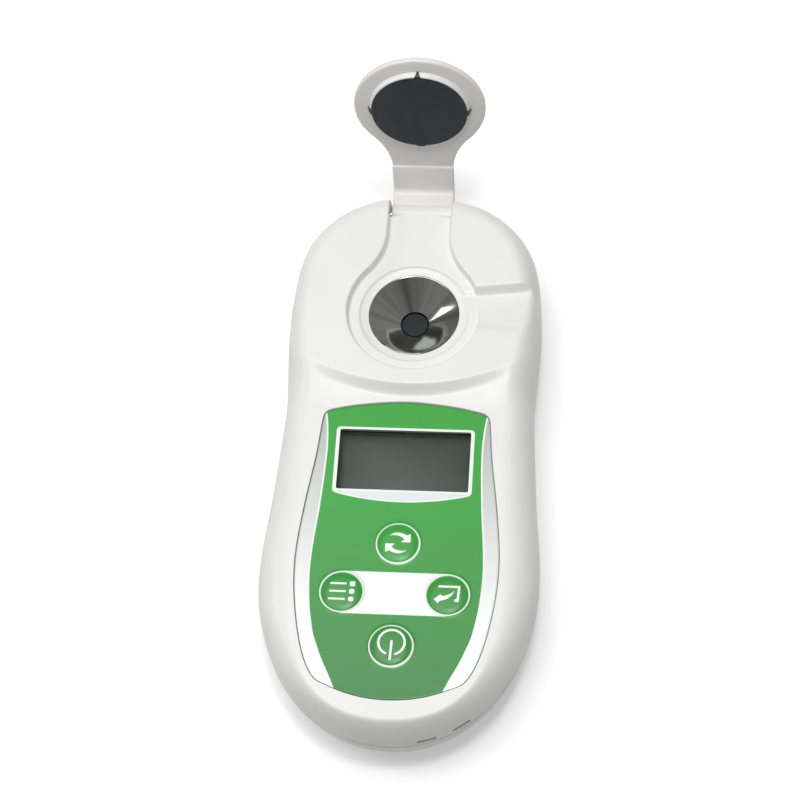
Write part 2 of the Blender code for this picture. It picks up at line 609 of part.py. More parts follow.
# ---------------------------------------------------------------- cover
def cover_pieces(white, pad_mat, steel):
    """The cover is drawn closed, in its hinge's axes, and hung on a guide turned to the open rest pose."""
    hinge = bpy.data.objects.new("cover_hinge_axis", None)
    bpy.context.scene.collection.objects.link(hinge)
    hinge.location = Vector((0, HINGE_Y, HINGE_Z)) * MM
    hinge.rotation_euler = (math.radians(-OPEN_DEG), 0, 0)
    half = NECK_HALF - 0.5
    cover = prism("flip_cover", keyhole(0.35, HINGE_Y), PLATE_Z[0], PLATE_Z[1], white)
    inner_y = HINGE_Y - 1.7
    low = SEAT_Z + GAP
    leg = [(inner_y, HINGE_Z), (HINGE_Y + 2.1, HINGE_Z), (62.3, 18.6), (61.9, 21.2), (60.7, 23.2),
           (59.4, 24.2), (HINGE_Y - 2.2, 24.3), (50.6, 24.3), (50.6, low), (inner_y, low)]
    weld(cover, side_prism("leg", leg, -half, half))
    weld(cover, along_x("barrel", BARREL_R, -half, half, HINGE_Y, HINGE_Z, sides=16))
    pad_face = WELL_RIM_Z + GAP
    boss = [(0, pad_face + 0.5), (10.5, pad_face + 0.5), (10.9, PLATE_Z[0] + 0.4), (0, PLATE_Z[0] + 0.4)]
    weld(cover, turned("boss", boss, (0, WELL_Y, 0), sides=32))
    cut(cover, along_x("pin_hole", PIN_R + 0.05, -20, 20, HINGE_Y, HINGE_Z, sides=16))
    back = pad_face + 0.2
    rim = [(0, pad_face), (10.0, pad_face), (10.25, pad_face + 0.1), (10.25, back), (0, back)]
    pad = turned("cover_pad", rim, (0, WELL_Y, 0), pad_mat, sides=32)
    for piece in (cover, pad):
        set_origin(piece, 0, HINGE_Y, HINGE_Z)
        piece.location = (0, 0, 0)
        piece.parent = hinge
    along_x("hinge_pin", PIN_R, -9.0, 9.0, HINGE_Y, HINGE_Z, steel, sides=16)


# ---------------------------------------------------------------- assembly
def build():
    for obj in list(bpy.data.objects):
        bpy.data.objects.remove(obj)
    white = material("white_abs", (0.86, 0.86, 0.84), 0.35)
    cover_white = material("cover_white", (0.82, 0.81, 0.79), 0.4)
    green = material("overlay_green", (0.09, 0.48, 0.10), 0.4)
    key_green = material("key_green", (0.11, 0.52, 0.13), 0.35)
    black = material("black_plastic", (0.03, 0.03, 0.03), 0.5)
    grey = material("grey_plastic", (0.35, 0.35, 0.36), 0.5)
    rubber = material("black_rubber", (0.02, 0.02, 0.025), 0.8)
    pad_blue = material("pad_rubber", (0.03, 0.04, 0.05), 0.6)
    steel = material("polished_steel", (0.6, 0.6, 0.58), 0.12, 1.0)
    zinc = material("zinc_steel", (0.65, 0.65, 0.66), 0.3, 1.0)
    clear = material("clear_window", (0.9, 0.93, 0.93), 0.05, alpha=0.3)
    prism_glass = material("prism_glass", (0.25, 0.28, 0.28), 0.03, alpha=0.6)
    lcd = material("lcd_glass", (0.11, 0.14, 0.11), 0.1)
    pcb = material("pcb_green", (0.02, 0.18, 0.08), 0.45)
    ceramic = material("ceramic_tan", (0.55, 0.42, 0.27), 0.5)
    ribbon = material("ribbon_white", (0.8, 0.8, 0.78), 0.5)
    amber = material("led_amber", (0.95, 0.65, 0.15), 0.15)
    label = material("battery_label", (0.12, 0.13, 0.15), 0.35)

    front_housing(white)
    rear_housing(white)
    housing_seal(rubber)
    housing_screws(zinc)
    keypad_overlay(green)
    for key, (x, y) in KEY_SPOTS.items():
        key_cap(key + "_key", x, y, key_green)
        key_plunger(key + "_plunger", x, y, black)
        switch_body(key + "_switch", x, y, grey)
    display_parts(clear, lcd, grey, zinc, rubber)
    main_board(pcb)
    board_pieces(black, zinc, ceramic, zinc)
    optics(steel, prism_glass, black, ribbon, rubber, pcb, zinc, amber)
    battery("left_battery", -CELL_X, 1.7, 1, label)
    battery("right_battery", CELL_X, -47.5, -1, label)
    coil_spring("left_battery_spring", -CELL_X, -47.6, -43.0, zinc)
    coil_spring("right_battery_spring", CELL_X, -2.8, 1.8, zinc)
    battery_contacts(zinc)
    battery_door(white)
    cover_pieces(cover_white, pad_blue, zinc)


build()
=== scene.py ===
"""Looks of a hand-held digital refractometer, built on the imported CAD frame.

Shapes are worked out in millimetres in the CAD's own frame (+Z out of the display side, +Y to the cover's
hinge) and turned into metres by make_piece(). The top of the case is one height function, meshed along its
own edges.
"""
import json
import math

import bmesh
import bpy
import numpy as np
from mathutils import Matrix, Vector
from mathutils.geometry import delaunay_2d_cdt


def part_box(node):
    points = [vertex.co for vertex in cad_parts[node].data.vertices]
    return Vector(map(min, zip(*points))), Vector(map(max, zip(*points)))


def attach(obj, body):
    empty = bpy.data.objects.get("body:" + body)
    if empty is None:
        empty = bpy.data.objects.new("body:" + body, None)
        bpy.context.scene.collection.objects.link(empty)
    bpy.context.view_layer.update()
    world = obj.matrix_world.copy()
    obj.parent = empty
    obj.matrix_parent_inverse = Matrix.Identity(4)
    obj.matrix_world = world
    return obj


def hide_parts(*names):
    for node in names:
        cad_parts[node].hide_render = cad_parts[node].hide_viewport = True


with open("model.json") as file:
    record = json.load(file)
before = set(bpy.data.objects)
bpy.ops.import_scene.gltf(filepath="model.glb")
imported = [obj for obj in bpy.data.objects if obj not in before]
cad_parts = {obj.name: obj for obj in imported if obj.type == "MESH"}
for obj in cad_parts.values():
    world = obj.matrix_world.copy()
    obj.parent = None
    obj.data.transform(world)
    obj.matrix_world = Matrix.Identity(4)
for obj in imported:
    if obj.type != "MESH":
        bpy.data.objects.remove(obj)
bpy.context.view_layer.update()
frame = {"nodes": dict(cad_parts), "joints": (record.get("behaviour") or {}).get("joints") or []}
MM = 0.001


def box_mm(node):
    """A CAD node's lowest and highest corners in millimetres."""
    low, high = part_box(node)
    return np.array(low) / MM, np.array(high) / MM


def centre_mm(node):
    low, high = box_mm(node)
    return (low + high) / 2


# ---- sizes, in millimetres
# Half outlines, x >= 0, from the chin round to the hinge end
WIDEST = [(0, -62.4), (12.1, -59.4), (22.2, -50.3), (28.0, -36.5), (29.1, -24), (27.7, -8),
          (26.4, 12.4), (26.6, 17.0), (27.2, 34), (24.6, 51), (14.5, 61.0), (0, 63.6)]
FACE = [(0, -60.2), (10.5, -58.0), (18.0, -50.5), (21.6, -38), (22.2, -24), (20.9, -8),
        (20.6, 12.4), (21.2, 17.0), (22.6, 34), (20.0, 48), (11.8, 56.2), (0, 58.4)]
BACK = [(0, -54.5), (9.5, -52.0), (16.0, -45.0), (19.8, -33), (20.6, -23), (19.4, -8),
        (18.6, 12.4), (18.7, 17.0), (19.2, 33), (17.0, 46), (10.5, 53.3), (0, 55.5)]
OVERLAY = [(0, -55.8), (6.5, -55.1), (12.6, -53.0), (15.6, -51.0), (18.2, -45.0), (20.2, -35.0),
           (20.8, -25), (19.8, -13.5), (18.3, -2.5), (17.7, 4.0), (17.4, 7.0), (17.0, 8.2), (15.6, 8.9),
           (9.0, 10.2), (0, 11.0)]
# Half width of the green print against y
GREEN = [(18.0, 12.5), (16.9, 8.6), (16.35, 5), (16.1, -0.5), (16.6, -12), (17.6, -25), (17.5, -32),
         (16.7, -38.5), (15.0, -44.5), (10.4, -55.4), (9.6, -58)]
OUTLINE_STEP, OUTLINE_SOFTENING = 0.76, 3.3
OVERLAY_STEP, OVERLAY_SOFTENING = 0.45, 1.3

WIDEST_Z = 12.5
SPLIT_Z = 11.6  # parting plane of the two housings
SEAM = 0.07  # half of the dark line at the parting plane
PANEL_Z = 21.5
HEAD_Z = box_mm("front_housing")[1][2]
STEP_CENTRE_Y = 58.4  # the head's front edge is an arc about this point
STEP_R = 43.7  # its crest
SEAT_Z = 21.9  # floor of the cover's recess
WALL = 2.0
WELL = centre_mm("sample_well")[:2]
WELL_UP = (*WELL, 0)  # where shapes turned about the well's axis are placed
BORE_R = 9.72  # opening of the case round the well
RIM_Z = box_mm("sample_well")[1][2]
RECESS_R = 14.45
NECK_HALF = 7.0
NECK_FILLET = 15.0
LEG_HALF = NECK_HALF - 0.35  # half width of the cover's leg between the slot's sides
CHANNEL_Z = 21.2  # floor of the finger channel at its upper wall
CHANNEL_TILT = 0.19  # its rise per mm towards the lower edge, where it runs out
OVERLAY_FLOOR_Z = 20.45
FILM_RISE = 0.2  # the film is drawn this much higher than its solid
OVERLAY_LOW, OVERLAY_HIGH = (box_mm("keypad_overlay")[k][2] + FILM_RISE for k in (0, 1))
WINDOW = (-13.75, 13.75, -9.4, 4.5)
KEYS = {key: centre_mm(key + "_key")[:2] for key in ("refresh", "menu", "enter", "power")}
KEY_R = 4.2
KEY_TOP = OVERLAY_HIGH + 0.24
JOINTS = {joint["name"]: joint for joint in frame["joints"]}
HINGE = np.array(JOINTS["cover_hinge"]["pos_m"]) / MM
OPEN_DEG = JOINTS["cover_hinge"]["range_deg"][1]
PIN_R = 1.0
BARREL_R = 2.3
CELL_R = 5.25
DOOR_TONGUES = (-7.5, 7.5)  # the door's two tongues, in x
SCREW_POSTS = [centre_mm(f"housing_screw_{k}")[:2] for k in (1, 2, 3, 4)]


# ---- curves
def cos_sin(angle):
    return math.cos(angle), math.sin(angle)


def smooth(before, start, end, after, t):
    """Catmull-Rom curve from start to end."""
    return 0.5 * (2 * start + (end - before) * t + (2 * before - 5 * start + 4 * end - after) * t ** 2
                  + (3 * start - before - 3 * end + after) * t ** 3)


def spline(half, at):
    """Points of the closed smooth curve through a mirrored half outline; at counts outline points."""
    ring = np.array(half + [(-x, y) for x, y in half[-2:0:-1]], float)
    index = np.floor(at).astype(int)
    return smooth(*(ring[(index + k) % len(ring)] for k in (-1, 0, 1, 2)), (at - index)[:, None])


def even_steps(half, step):
    """Positions on the outline that lie about one step apart."""
    fine = np.linspace(0, 2 * (len(half) - 1), 4001)
    gaps = np.linalg.norm(np.diff(spline(half, fine), axis=0), axis=1)
    length = np.concatenate(([0], np.cumsum(gaps)))
    count = 2 * int(length[-1] / step / 2)
    return np.interp(np.linspace(0, length[-1], count, endpoint=False), length, fine)


def soften(curve, reach):
    """Blur a closed, evenly stepped curve; reach is in steps."""
    offsets = np.arange(-int(3 * reach), int(3 * reach) + 1)
    weights = np.exp(-0.5 * (offsets / reach) ** 2)
    weights /= weights.sum()
    return sum(w * np.roll(curve, k, axis=0) for k, w in zip(offsets, weights))


def grow(curve, distance):
    """Move a counter-clockwise closed curve outwards."""
    along = np.roll(curve, -1, axis=0) - np.roll(curve, 1, axis=0)
    along /= np.linalg.norm(along, axis=1)[:, None]
    return curve + np.stack([along[:, 1], -along[:, 0]], axis=1) * distance


def on_circle(centre, radius, turn):
    return np.stack([centre[0] + radius * np.cos(turn), centre[1] + radius * np.sin(turn)], axis=1)


def circle(centre, radius, count):
    return on_circle(centre, radius, np.arange(count) * math.tau / count)


def arc(centre, radius, start_deg, end_deg, count):
    return on_circle(centre, radius, np.radians(np.linspace(start_deg, end_deg, count)))


def rounded(corners, radius, steps=6):
    """A polygon with its corners rounded off."""
    corners = np.array(corners, float)
    points = []
    for k, corner in enumerate(corners):
        to_last, to_next = corners[k - 1] - corner, corners[(k + 1) % len(corners)] - corner
        reach = min(radius, 0.45 * np.linalg.norm(to_last), 0.45 * np.linalg.norm(to_next))
        start = corner + to_last / np.linalg.norm(to_last) * reach
        end = corner + to_next / np.linalg.norm(to_next) * reach
        for t in np.linspace(0, 1, steps):
            points.append((1 - t) ** 2 * start + 2 * t * (1 - t) * corner + t * t * end)
    return np.array(points)


def rectangle(x0, x1, y0, y1, radius):
    return rounded([(x0, y0), (x1, y0), (x1, y1), (x0, y1)], radius)


def inside_distance(points, curve):
    """Distance to a closed curve, positive inside it."""
    along = np.roll(curve, -1, axis=0) - curve
    result = np.empty(len(points))
    for first in range(0, len(points), 4000):
        some = points[first:first + 4000]
        offset = some[:, None] - curve[None]
        t = np.clip((offset * along).sum(2) / (along * along).sum(1), 0, 1)
        gap = offset - t[..., None] * along
        square = (gap * gap).sum(2)
        below, above = curve[:, 1], curve[:, 1] + along[:, 1]
        crosses = (below > some[:, 1, None]) != (above > some[:, 1, None])
        steep = np.where(along[:, 1] == 0, 1, along[:, 1])
        crossing_x = curve[:, 0] + (some[:, 1, None] - below) * along[:, 0] / steep
        inside = (crosses & (some[:, 0, None] < crossing_x)).sum(1) % 2 == 1
        result[first:first + 4000] = np.where(inside, 1, -1) * np.sqrt(square.min(1))
    return result


def ramp(d, width, start, end=None):
    """0 to 1 as d crosses the width, rounded over the lengths start and end."""
    end = start if end is None else end
    d = np.clip(d, 0, width)
    total = width - start / 2 - end / 2
    late = total - (width - d) ** 2 / (2 * end)
    return np.where(d < start, d ** 2 / (2 * start), np.where(d < width - end, d - start / 2, late)) / total


def ramp_lines(width, rounding):
    """Where a ramp needs mesh lines, with a guard line on each side."""
    half = rounding / 2
    return (-0.3, 0, half, rounding, width - rounding, width - half, width, width + 0.3)


# ---- solids
def add_object(name, data):
    obj = bpy.data.objects.new(name, data)
    bpy.context.scene.collection.objects.link(obj)
    return obj


def solid(verts, faces):
    """A working object in millimetres."""
    mesh = bpy.data.meshes.new("solid")
    mesh.from_pydata(np.asarray(verts, float).tolist(), [], [tuple(int(i) for i in face) for face in faces])
    bm = bmesh.new()
    bm.from_mesh(mesh)
    bmesh.ops.recalc_face_normals(bm, faces=bm.faces)
    bm.to_mesh(mesh)
    bm.free()
    return add_object("solid", mesh)


def lift(outline, z):
    """A flat outline at a height, or at a height for each point."""
    return np.column_stack([outline, np.broadcast_to(z, len(outline))])


def stack(rings, ring_shaped=False):
    """A solid through matching rings: capped at both ends, or joined end to start."""
    count, layers = len(rings[0]), len(rings)
    faces = []
    for layer in range(layers if ring_shaped else layers - 1):
        a, b = layer * count, (layer + 1) % layers * count
        faces += [(a + k, a + (k + 1) % count, b + (k + 1) % count, b + k) for k in range(count)]
    if not ring_shaped:
        faces += [range(count - 1, -1, -1), range((layers - 1) * count, layers * count)]
    return solid(np.concatenate(rings), faces)


def plate(outline, z0, z1, edge=0.0):
    """An upright solid over an outline, its edges rounded."""
    outline = np.array(outline, float)
    if not edge:
        return stack([lift(outline, z0), lift(outline, z1)])
    turns = np.radians([0, 30, 60, 90])
    low = [lift(grow(outline, -edge * (1 - math.sin(t))), z0 + edge * (1 - math.cos(t))) for t in turns]
    high = [lift(grow(outline, -edge * (1 - math.cos(t))), z1 - edge * (1 - math.sin(t))) for t in turns]
    return stack(low + high)


def block(x0, x1, y0, y1, z0, z1, edge=0.0, radius=0.0):
    if radius:
        return plate(rectangle(x0, x1, y0, y1, radius), z0, z1, edge)
    return plate([(x0, y0), (x1, y0), (x1, y1), (x0, y1)], z0, z1, edge)


def turned(profile, centre, sides, tilt=None):
    """A solid of revolution through (radius, height) points; radius 0 is on its axis."""
    verts, rings, start = [], [], 0
    for radius, height in profile:
        outline = circle((0, 0), radius, sides if radius else 1)
        verts.append(lift(outline, height))
        rings.append(range(start, start + len(outline)))
        start += len(outline)
    if profile[0][0] > 0 and profile[-1][0] > 0:
        rings.append(rings[0])
    faces = []
    for low, high in zip(rings, rings[1:]):
        for k in range(sides):
            n = (k + 1) % sides
            corners = [low[k % len(low)], low[n % len(low)], high[n % len(high)], high[k % len(high)]]
            faces.append(list(dict.fromkeys(corners)))
    verts = np.concatenate(verts)
    if tilt is not None:
        verts = verts @ np.array(tilt.to_3x3()).T
    return solid(verts + np.array(centre), faces)


def rod(radius, half, edge=0.0, sides=64):
    """A cylinder on the cover's hinge line, with its ends bevelled by the edge."""
    corner = [(radius - edge, half), (radius, half - edge)] if edge else [(radius, half)]
    profile = [(0, -half)] + [(r, -x) for r, x in corner] + corner[::-1] + [(0, half)]
    return turned(profile, (0, HINGE[1], HINGE[2]), sides, Matrix.Rotation(math.radians(90), 4, "Y"))


def placing(place, degrees):
    """Turn about an upright axis through the origin, then move to the place."""
    return Matrix.Translation(place) @ Matrix.Rotation(math.radians(degrees), 4, "Z")


def side_plate(profile, x0, x1, edge=0.0):
    """A solid with a (y, z) profile that runs along X, its end edges rounded."""
    shape = plate(profile, x0, x1, edge)
    turn = Matrix(((0, 0, 1, 0), (1, 0, 0, 0), (0, 1, 0, 0), (0, 0, 0, 1)))
    shape.data.transform(turn)
    return shape


def boolean(shape, tool, operation):
    modifier = shape.modifiers.new(operation, "BOOLEAN")
    modifier.operation = operation
    modifier.object = tool
    modifier.solver = "MANIFOLD"
    bpy.context.view_layer.update()
    mesh = bpy.data.meshes.new_from_object(shape.evaluated_get(bpy.context.evaluated_depsgraph_get()))
    if not mesh.polygons:
        raise RuntimeError("a boolean left nothing behind")
    shape.modifiers.clear()
    old, shape.data = shape.data, mesh
    bpy.data.meshes.remove(old)
    discard(tool)
    return shape


def discard(shape):
    mesh = shape.data
    bpy.data.objects.remove(shape)
    bpy.data.meshes.remove(mesh)


def cut(shape, *tools):
    for tool in tools:
        boolean(shape, tool, "DIFFERENCE")
    return shape


def weld(shape, *others):
    for other in others:
        boolean(shape, other, "UNION")
    return shape


class Plan:
    """Lines and points in plan view that are meshed together."""

    def __init__(self):
        self.points = []
        self.edges = []

    def line(self, points, closed=True):
        start, count = len(self.points), len(points)
        self.scatter(points)
        self.edges += [(start + k, start + (k + 1) % count) for k in range(count if closed else count - 1)]

    def scatter(self, points):
        self.points += [Vector(p) for p in points]

    def mesh(self, keep):
        """Points and triangles, without the triangles whose centres keep() turns down."""
        verts, _, faces = delaunay_2d_cdt(self.points, self.edges, [], 0, 1e-4)[:3]
        verts, faces = np.array(verts), np.array(faces)
        faces = faces[keep(verts[faces].mean(1))]
        used, faces = np.unique(faces, return_inverse=True)
        return verts[used], faces.reshape(-1, 3)


def border(faces):
    """The directed edges that only one triangle has."""
    edges = {(int(f[k]), int(f[(k + 1) % 3])) for f in faces for k in range(3)}
    return [(a, b) for a, b in edges if (b, a) not in edges]


def hexagonal(x0, x1, y0, y1, step):
    rows = np.arange(y0, y1, step * 0.866)
    return np.array([(x + step * 0.5 * (k % 2), y)
                     for k, y in enumerate(rows) for x in np.arange(x0, x1, step)])


# ---- materials
def fill(node, values):
    """Set a node's inputs; _ in a name stands for a space."""
    for socket, value in values.items():
        node.inputs[socket.replace("_", " ")].default_value = value


class Nodes:
    """A Principled material and short ways to drive its sockets."""

    def __init__(self, name, **values):
        self.mat = bpy.data.materials.new(name)
        self.mat.use_nodes = True
        self.tree = self.mat.node_tree
        self.shader = self.tree.nodes["Principled BSDF"]
        self.coords = self.tree.nodes.new("ShaderNodeTexCoord").outputs["Object"]
        fill(self.shader, values)

    def link(self, start, end):
        self.tree.links.new(start, end)

    def add(self, kind, start=None, end="Vector", **values):
        """A new node with its input values, fed from the start socket into the one called end."""
        node = self.tree.nodes.new("ShaderNode" + kind)
        fill(node, values)
        if start:
            self.link(start, node.inputs[end])
        return node

    def noise(self, scale, detail=2.0):
        """Noise whose scale counts blobs in a metre."""
        return self.add("TexNoise", self.coords, Scale=scale, Detail=detail).outputs["Fac"]

    def cells(self, scale):
        return self.add("TexVoronoi", self.coords, Scale=scale).outputs["Distance"]

    def along_y(self, start_mm, end_mm):
        """0 to 1 between two places along the instrument."""
        axes = self.add("SeparateXYZ", self.coords)
        return self.spread(axes.outputs["Y"], 0, 1, start_mm * MM, end_mm * MM)

    def about(self, centre_mm):
        """Coordinates that start from an upright axis."""
        shift = (-centre_mm[0] * MM, -centre_mm[1] * MM, 0)
        return self.add("Mapping", self.coords, Location=shift).outputs["Vector"]

    def rings(self, centre_mm, per_metre):
        """Turning marks: fine rings about an upright axis."""
        node = self.add("TexWave", self.about(centre_mm), Scale=per_metre, Distortion=0.6)
        node.wave_type = "RINGS"
        node.rings_direction = "Z"
        return node.outputs["Fac"]

    def streaks(self, centre_mm, count):
        """Soft stripes running outwards from an upright axis; as a colour they paint in reflections."""
        angle = self.add("TexGradient", self.about(centre_mm))
        angle.gradient_type = "RADIAL"
        node = self.add("TexNoise", Scale=count, Detail=3.0)
        node.noise_dimensions = "1D"
        self.link(angle.outputs["Fac"], node.inputs["W"])
        return node.outputs["Fac"]

    def spread(self, value, low, high, start=0.3, end=0.7):
        """Map a 0..1 pattern onto a range."""
        limits = {"From_Min": start, "From_Max": end, "To_Min": low, "To_Max": high}
        return self.add("MapRange", value, "Value", **limits).outputs["Result"]

    def colour(self, pattern, low, high, start=0.3, end=0.7):
        node = self.add("ValToRGB", pattern, "Fac")
        for stop, place, shade in zip(node.color_ramp.elements, (start, end), (low, high)):
            stop.position = place
            stop.color = (*shade, 1)
        self.link(node.outputs["Color"], self.shader.inputs["Base Color"])
        return self

    def roughness(self, pattern, low, high):
        self.link(self.spread(pattern, low, high), self.shader.inputs["Roughness"])
        return self

    def bump(self, pattern, depth_mm, strength=1.0):
        node = self.add("Bump", pattern, "Height", Distance=depth_mm * MM, Strength=strength)
        self.link(node.outputs["Normal"], self.shader.inputs["Normal"])
        return self


def shades(colour, spread):
    """A darker and a lighter version of one colour."""
    return tuple(c * (1 - spread) for c in colour), tuple(min(1, c * (1 + spread)) for c in colour)


def finish(name, colour, spread, cloud, wear, rough, grain=None, depth=0.003, **values):
    """A material from noises (scale, detail): cloud shades it, wear roughens it, grain is its relief."""
    made = Nodes(name, **values)
    made.colour(made.noise(*cloud), *shades(colour, spread))
    made.roughness(made.noise(*wear), *rough)
    if grain:
        made.bump(made.noise(*grain), depth)
    return made.mat


def moulded(name, colour, rough=(0.32, 0.42), grain=3500, depth=0.004, spread=0.012):
    """Injection-moulded plastic: fine grain, and patches made glossier by handling."""
    return finish(name, colour, spread, (90, 3), (160, 4), rough, (grain, 2), depth, Specular_IOR_Level=0.45)


def printed_film(name, colour, rough=(0.3, 0.38), spread=0.03):
    """Screen-printed polyester film."""
    return finish(name, colour, spread, (220, 5), (500, 3), rough, (6000, 1), Specular_IOR_Level=0.4)


def metal(name, colour, rough, scale=900):
    return finish(name, colour, 0.06, (scale, 4), (scale * 0.6, 4), rough, (scale * 4, 2), Metallic=1.0)


def rubbery(name, colour, rough=(0.55, 0.75)):
    return finish(name, colour, 0.15, (300, 5), (500, 4), rough, (2600, 3), 0.012, Specular_IOR_Level=0.4)


def clear(name, colour, alpha, rough=(0.03, 0.08)):
    return finish(name, colour, 0.05, (120, 3), (300, 4), rough, Alpha=alpha, IOR=1.49)


def dark_glass(name, colour):
    return finish(name, colour, 0.12, (110, 4), (350, 4), (0.03, 0.07), IOR=1.45, Coat_Weight=0.2,
                  Coat_Roughness=0.03)


def pearl_film(name, colour, metallic):
    """Silver ink with fine flakes."""
    made = Nodes(name, Metallic=metallic, Specular_IOR_Level=0.5)
    made.colour(made.cells(5200), *shades(colour, 0.07), start=0.1, end=0.6)
    made.roughness(made.noise(700, 3), 0.34, 0.46)
    return made.bump(made.noise(5000, 1), 0.004).mat


def painted_light_film(name, low_end, high_end, span, metallic=0.0):
    """Ink with light painted into it: its colour darkens or lightens along the instrument as painted shade or
    sheen, with a fine grain.
    """
    made = Nodes(name, Metallic=metallic, Specular_IOR_Level=0.4)
    made.colour(made.along_y(*span), low_end, high_end, 0, 1)
    made.roughness(made.noise(2500, 3), 0.28, 0.32)
    return made.bump(made.noise(5000, 1), 0.003).mat


def turned_steel(name, colour, centre):
    """Polished steel with fine turning rings as relief, and painted reflections as radial stripes in its
    colour.
    """
    made = Nodes(name, Metallic=1.0)
    # radial stripes in the colour: painted reflections of the room
    made.colour(made.streaks(centre, 7), *shades(colour, 0.5))
    made.roughness(made.noise(420, 5), 0.05, 0.12)
    return made.bump(made.rings(centre, 900), 0.0012).mat


def circuit(name, colour):
    """Solder mask, lighter where copper lies under it."""
    made = Nodes(name, Specular_IOR_Level=0.5)
    made.colour(made.cells(420), *shades(colour, 0.3), start=0.35, end=0.5)
    made.roughness(made.noise(600, 3), 0.3, 0.45)
    return made.bump(made.cells(420), 0.02, 0.4).mat


white = moulded("white_plastic", (0.805, 0.805, 0.795))
cover_white = moulded("cover_plastic", (0.775, 0.765, 0.75), rough=(0.34, 0.44))
# The green darkens towards the chin: painted shade where less light falls, on the film and on the keys alike.
green, key_green = (painted_light_film(name, (0.036, 0.215, 0.042), (0.042, 0.365, 0.048), (-58, -10))
                    for name in ("green_film", "green_key"))
# The silver lightens towards the chin and darkens towards the head: a painted sheen.
silver_film = painted_light_film("silver_film", (0.80, 0.82, 0.81), (0.45, 0.48, 0.46), (-38, 7), metallic=0.1)
band_film = pearl_film("pearl_film", (0.82, 0.84, 0.84), metallic=0.1)
lens_film = pearl_film("lilac_film", (0.66, 0.70, 0.71), metallic=0.15)
white_print = printed_film("white_print", (0.84, 0.92, 0.85), rough=(0.25, 0.33), spread=0.015)
steel = turned_steel("polished_steel", (0.34, 0.345, 0.335), WELL)
prism_glass = dark_glass("prism_glass", (0.022, 0.027, 0.030))
pad_rubber = rubbery("pad_rubber", (0.010, 0.016, 0.021), rough=(0.38, 0.5))
window_clear = clear("clear_window", (0.2, 0.24, 0.21), 0.05)
window_border = printed_film("window_border", (0.02, 0.025, 0.022))
display_face = printed_film("display_face", (0.033, 0.052, 0.036), rough=(0.3, 0.4), spread=0.07)
display_edge = dark_glass("display_edge", (0.25, 0.30, 0.27))
black_plastic = moulded("black_plastic", (0.022, 0.022, 0.024), rough=(0.4, 0.55), spread=0.1)
grey_plastic = moulded("grey_plastic", (0.30, 0.30, 0.31), rough=(0.4, 0.55), spread=0.05)
black_rubber = rubbery("black_rubber", (0.02, 0.02, 0.022))
zinc = metal("zinc_plate", (0.62, 0.63, 0.65), (0.22, 0.36))
spring_steel = metal("spring_steel", (0.66, 0.65, 0.62), (0.16, 0.3), scale=1500)
board_green = circuit("board_green", (0.018, 0.16, 0.06))
ceramic = moulded("capacitor_case", (0.50, 0.36, 0.20), spread=0.08)
ribbon = moulded("ribbon_white", (0.72, 0.72, 0.70), grain=1200, depth=0.02)
amber = clear("led_amber", (0.9, 0.55, 0.12), 0.75, rough=(0.08, 0.16))
cell_label = printed_film("cell_label", (0.045, 0.05, 0.06), rough=(0.22, 0.32), spread=0.08)
cell_band = printed_film("cell_band", (0.62, 0.30, 0.05), rough=(0.22, 0.32))


def make_piece(name, parts, body, nodes, sharp_deg=35, turn=None):
    """Join solids, each with its material or its own list of them, into one piece in metres on its body."""
    bm = bmesh.new()
    mesh = bpy.data.meshes.new(name)
    for shape, mats in parts:
        mats = mats if isinstance(mats, list) else [mats]
        first_face, first_mat = len(bm.faces), len(mesh.materials)
        bm.from_mesh(shape.data)
        bm.faces.ensure_lookup_table()
        for face in bm.faces[first_face:]:
            face.material_index = first_mat + min(face.material_index, len(mats) - 1)
        for mat in mats:
            mesh.materials.append(mat)
        discard(shape)
    if turn:
        bmesh.ops.transform(bm, matrix=turn, verts=bm.verts)
    bmesh.ops.scale(bm, vec=(MM, MM, MM), verts=bm.verts)
    bm.to_mesh(mesh)
    bm.free()
    mesh.shade_smooth()
    mesh.set_sharp_from_angle(angle=math.radians(sharp_deg))
    obj = add_object(name, mesh)
    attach(obj, body)
    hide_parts(*nodes)
    return obj


# ---- the case
even = even_steps(WIDEST, OUTLINE_STEP)
wide_line, face_line, back_line = (soften(spline(half, even), OUTLINE_SOFTENING)
                                   for half in (WIDEST, FACE, BACK))
overlay_line = soften(spline(OVERLAY, even_steps(OVERLAY, OVERLAY_STEP)), OVERLAY_SOFTENING)
overlay_seat = grow(overlay_line, 0.27)
SHOULDER_DEG = (4, 7, 11, 16, 22, 29, 37, 46, 56, 67, 78)  # mesh lines over the rounded side


def keyhole_fillet(radius, half, fillet):
    """Centre of the fillet between the disc and the neck on the right."""
    reach = half + fillet
    return reach, WELL[1] + math.sqrt((radius + fillet) ** 2 - reach ** 2)


def keyhole_line(shrink, end_y):
    """Edge of the cover's plan, from the neck's left end round the disc to its right end."""
    radius, half, fillet = RECESS_R - shrink, NECK_HALF - shrink, NECK_FILLET + shrink
    reach, fillet_y = keyhole_fillet(radius, half, fillet)
    meet = math.degrees(math.atan2(fillet_y - WELL[1], reach))
    disc = arc(WELL, radius, 180 - meet, 360 + meet, 120)
    corner = arc((reach, fillet_y), fillet, 180 + meet, 180, 16)[1:]
    straight = np.array([(half, y) for y in np.arange(fillet_y + 0.8, end_y + 0.01, 0.8)])
    side = np.concatenate([corner, straight])
    return np.concatenate([side[::-1] * (-1, 1), disc, side])


def keyhole_distance(points):
    """Distance to the recess's edge, positive inside."""
    x, y = np.abs(points[:, 0]), points[:, 1]
    reach, fillet_y = keyhole_fillet(RECESS_R, NECK_HALF, NECK_FILLET)
    past_disc = reach * (y - WELL[1]) - (fillet_y - WELL[1]) * x > 0
    disc = RECESS_R - np.hypot(x, y - WELL[1])
    fillet = np.hypot(x - reach, y - fillet_y) - NECK_FILLET
    return np.where(y >= fillet_y, NECK_HALF - x, np.where(past_disc, fillet, disc))


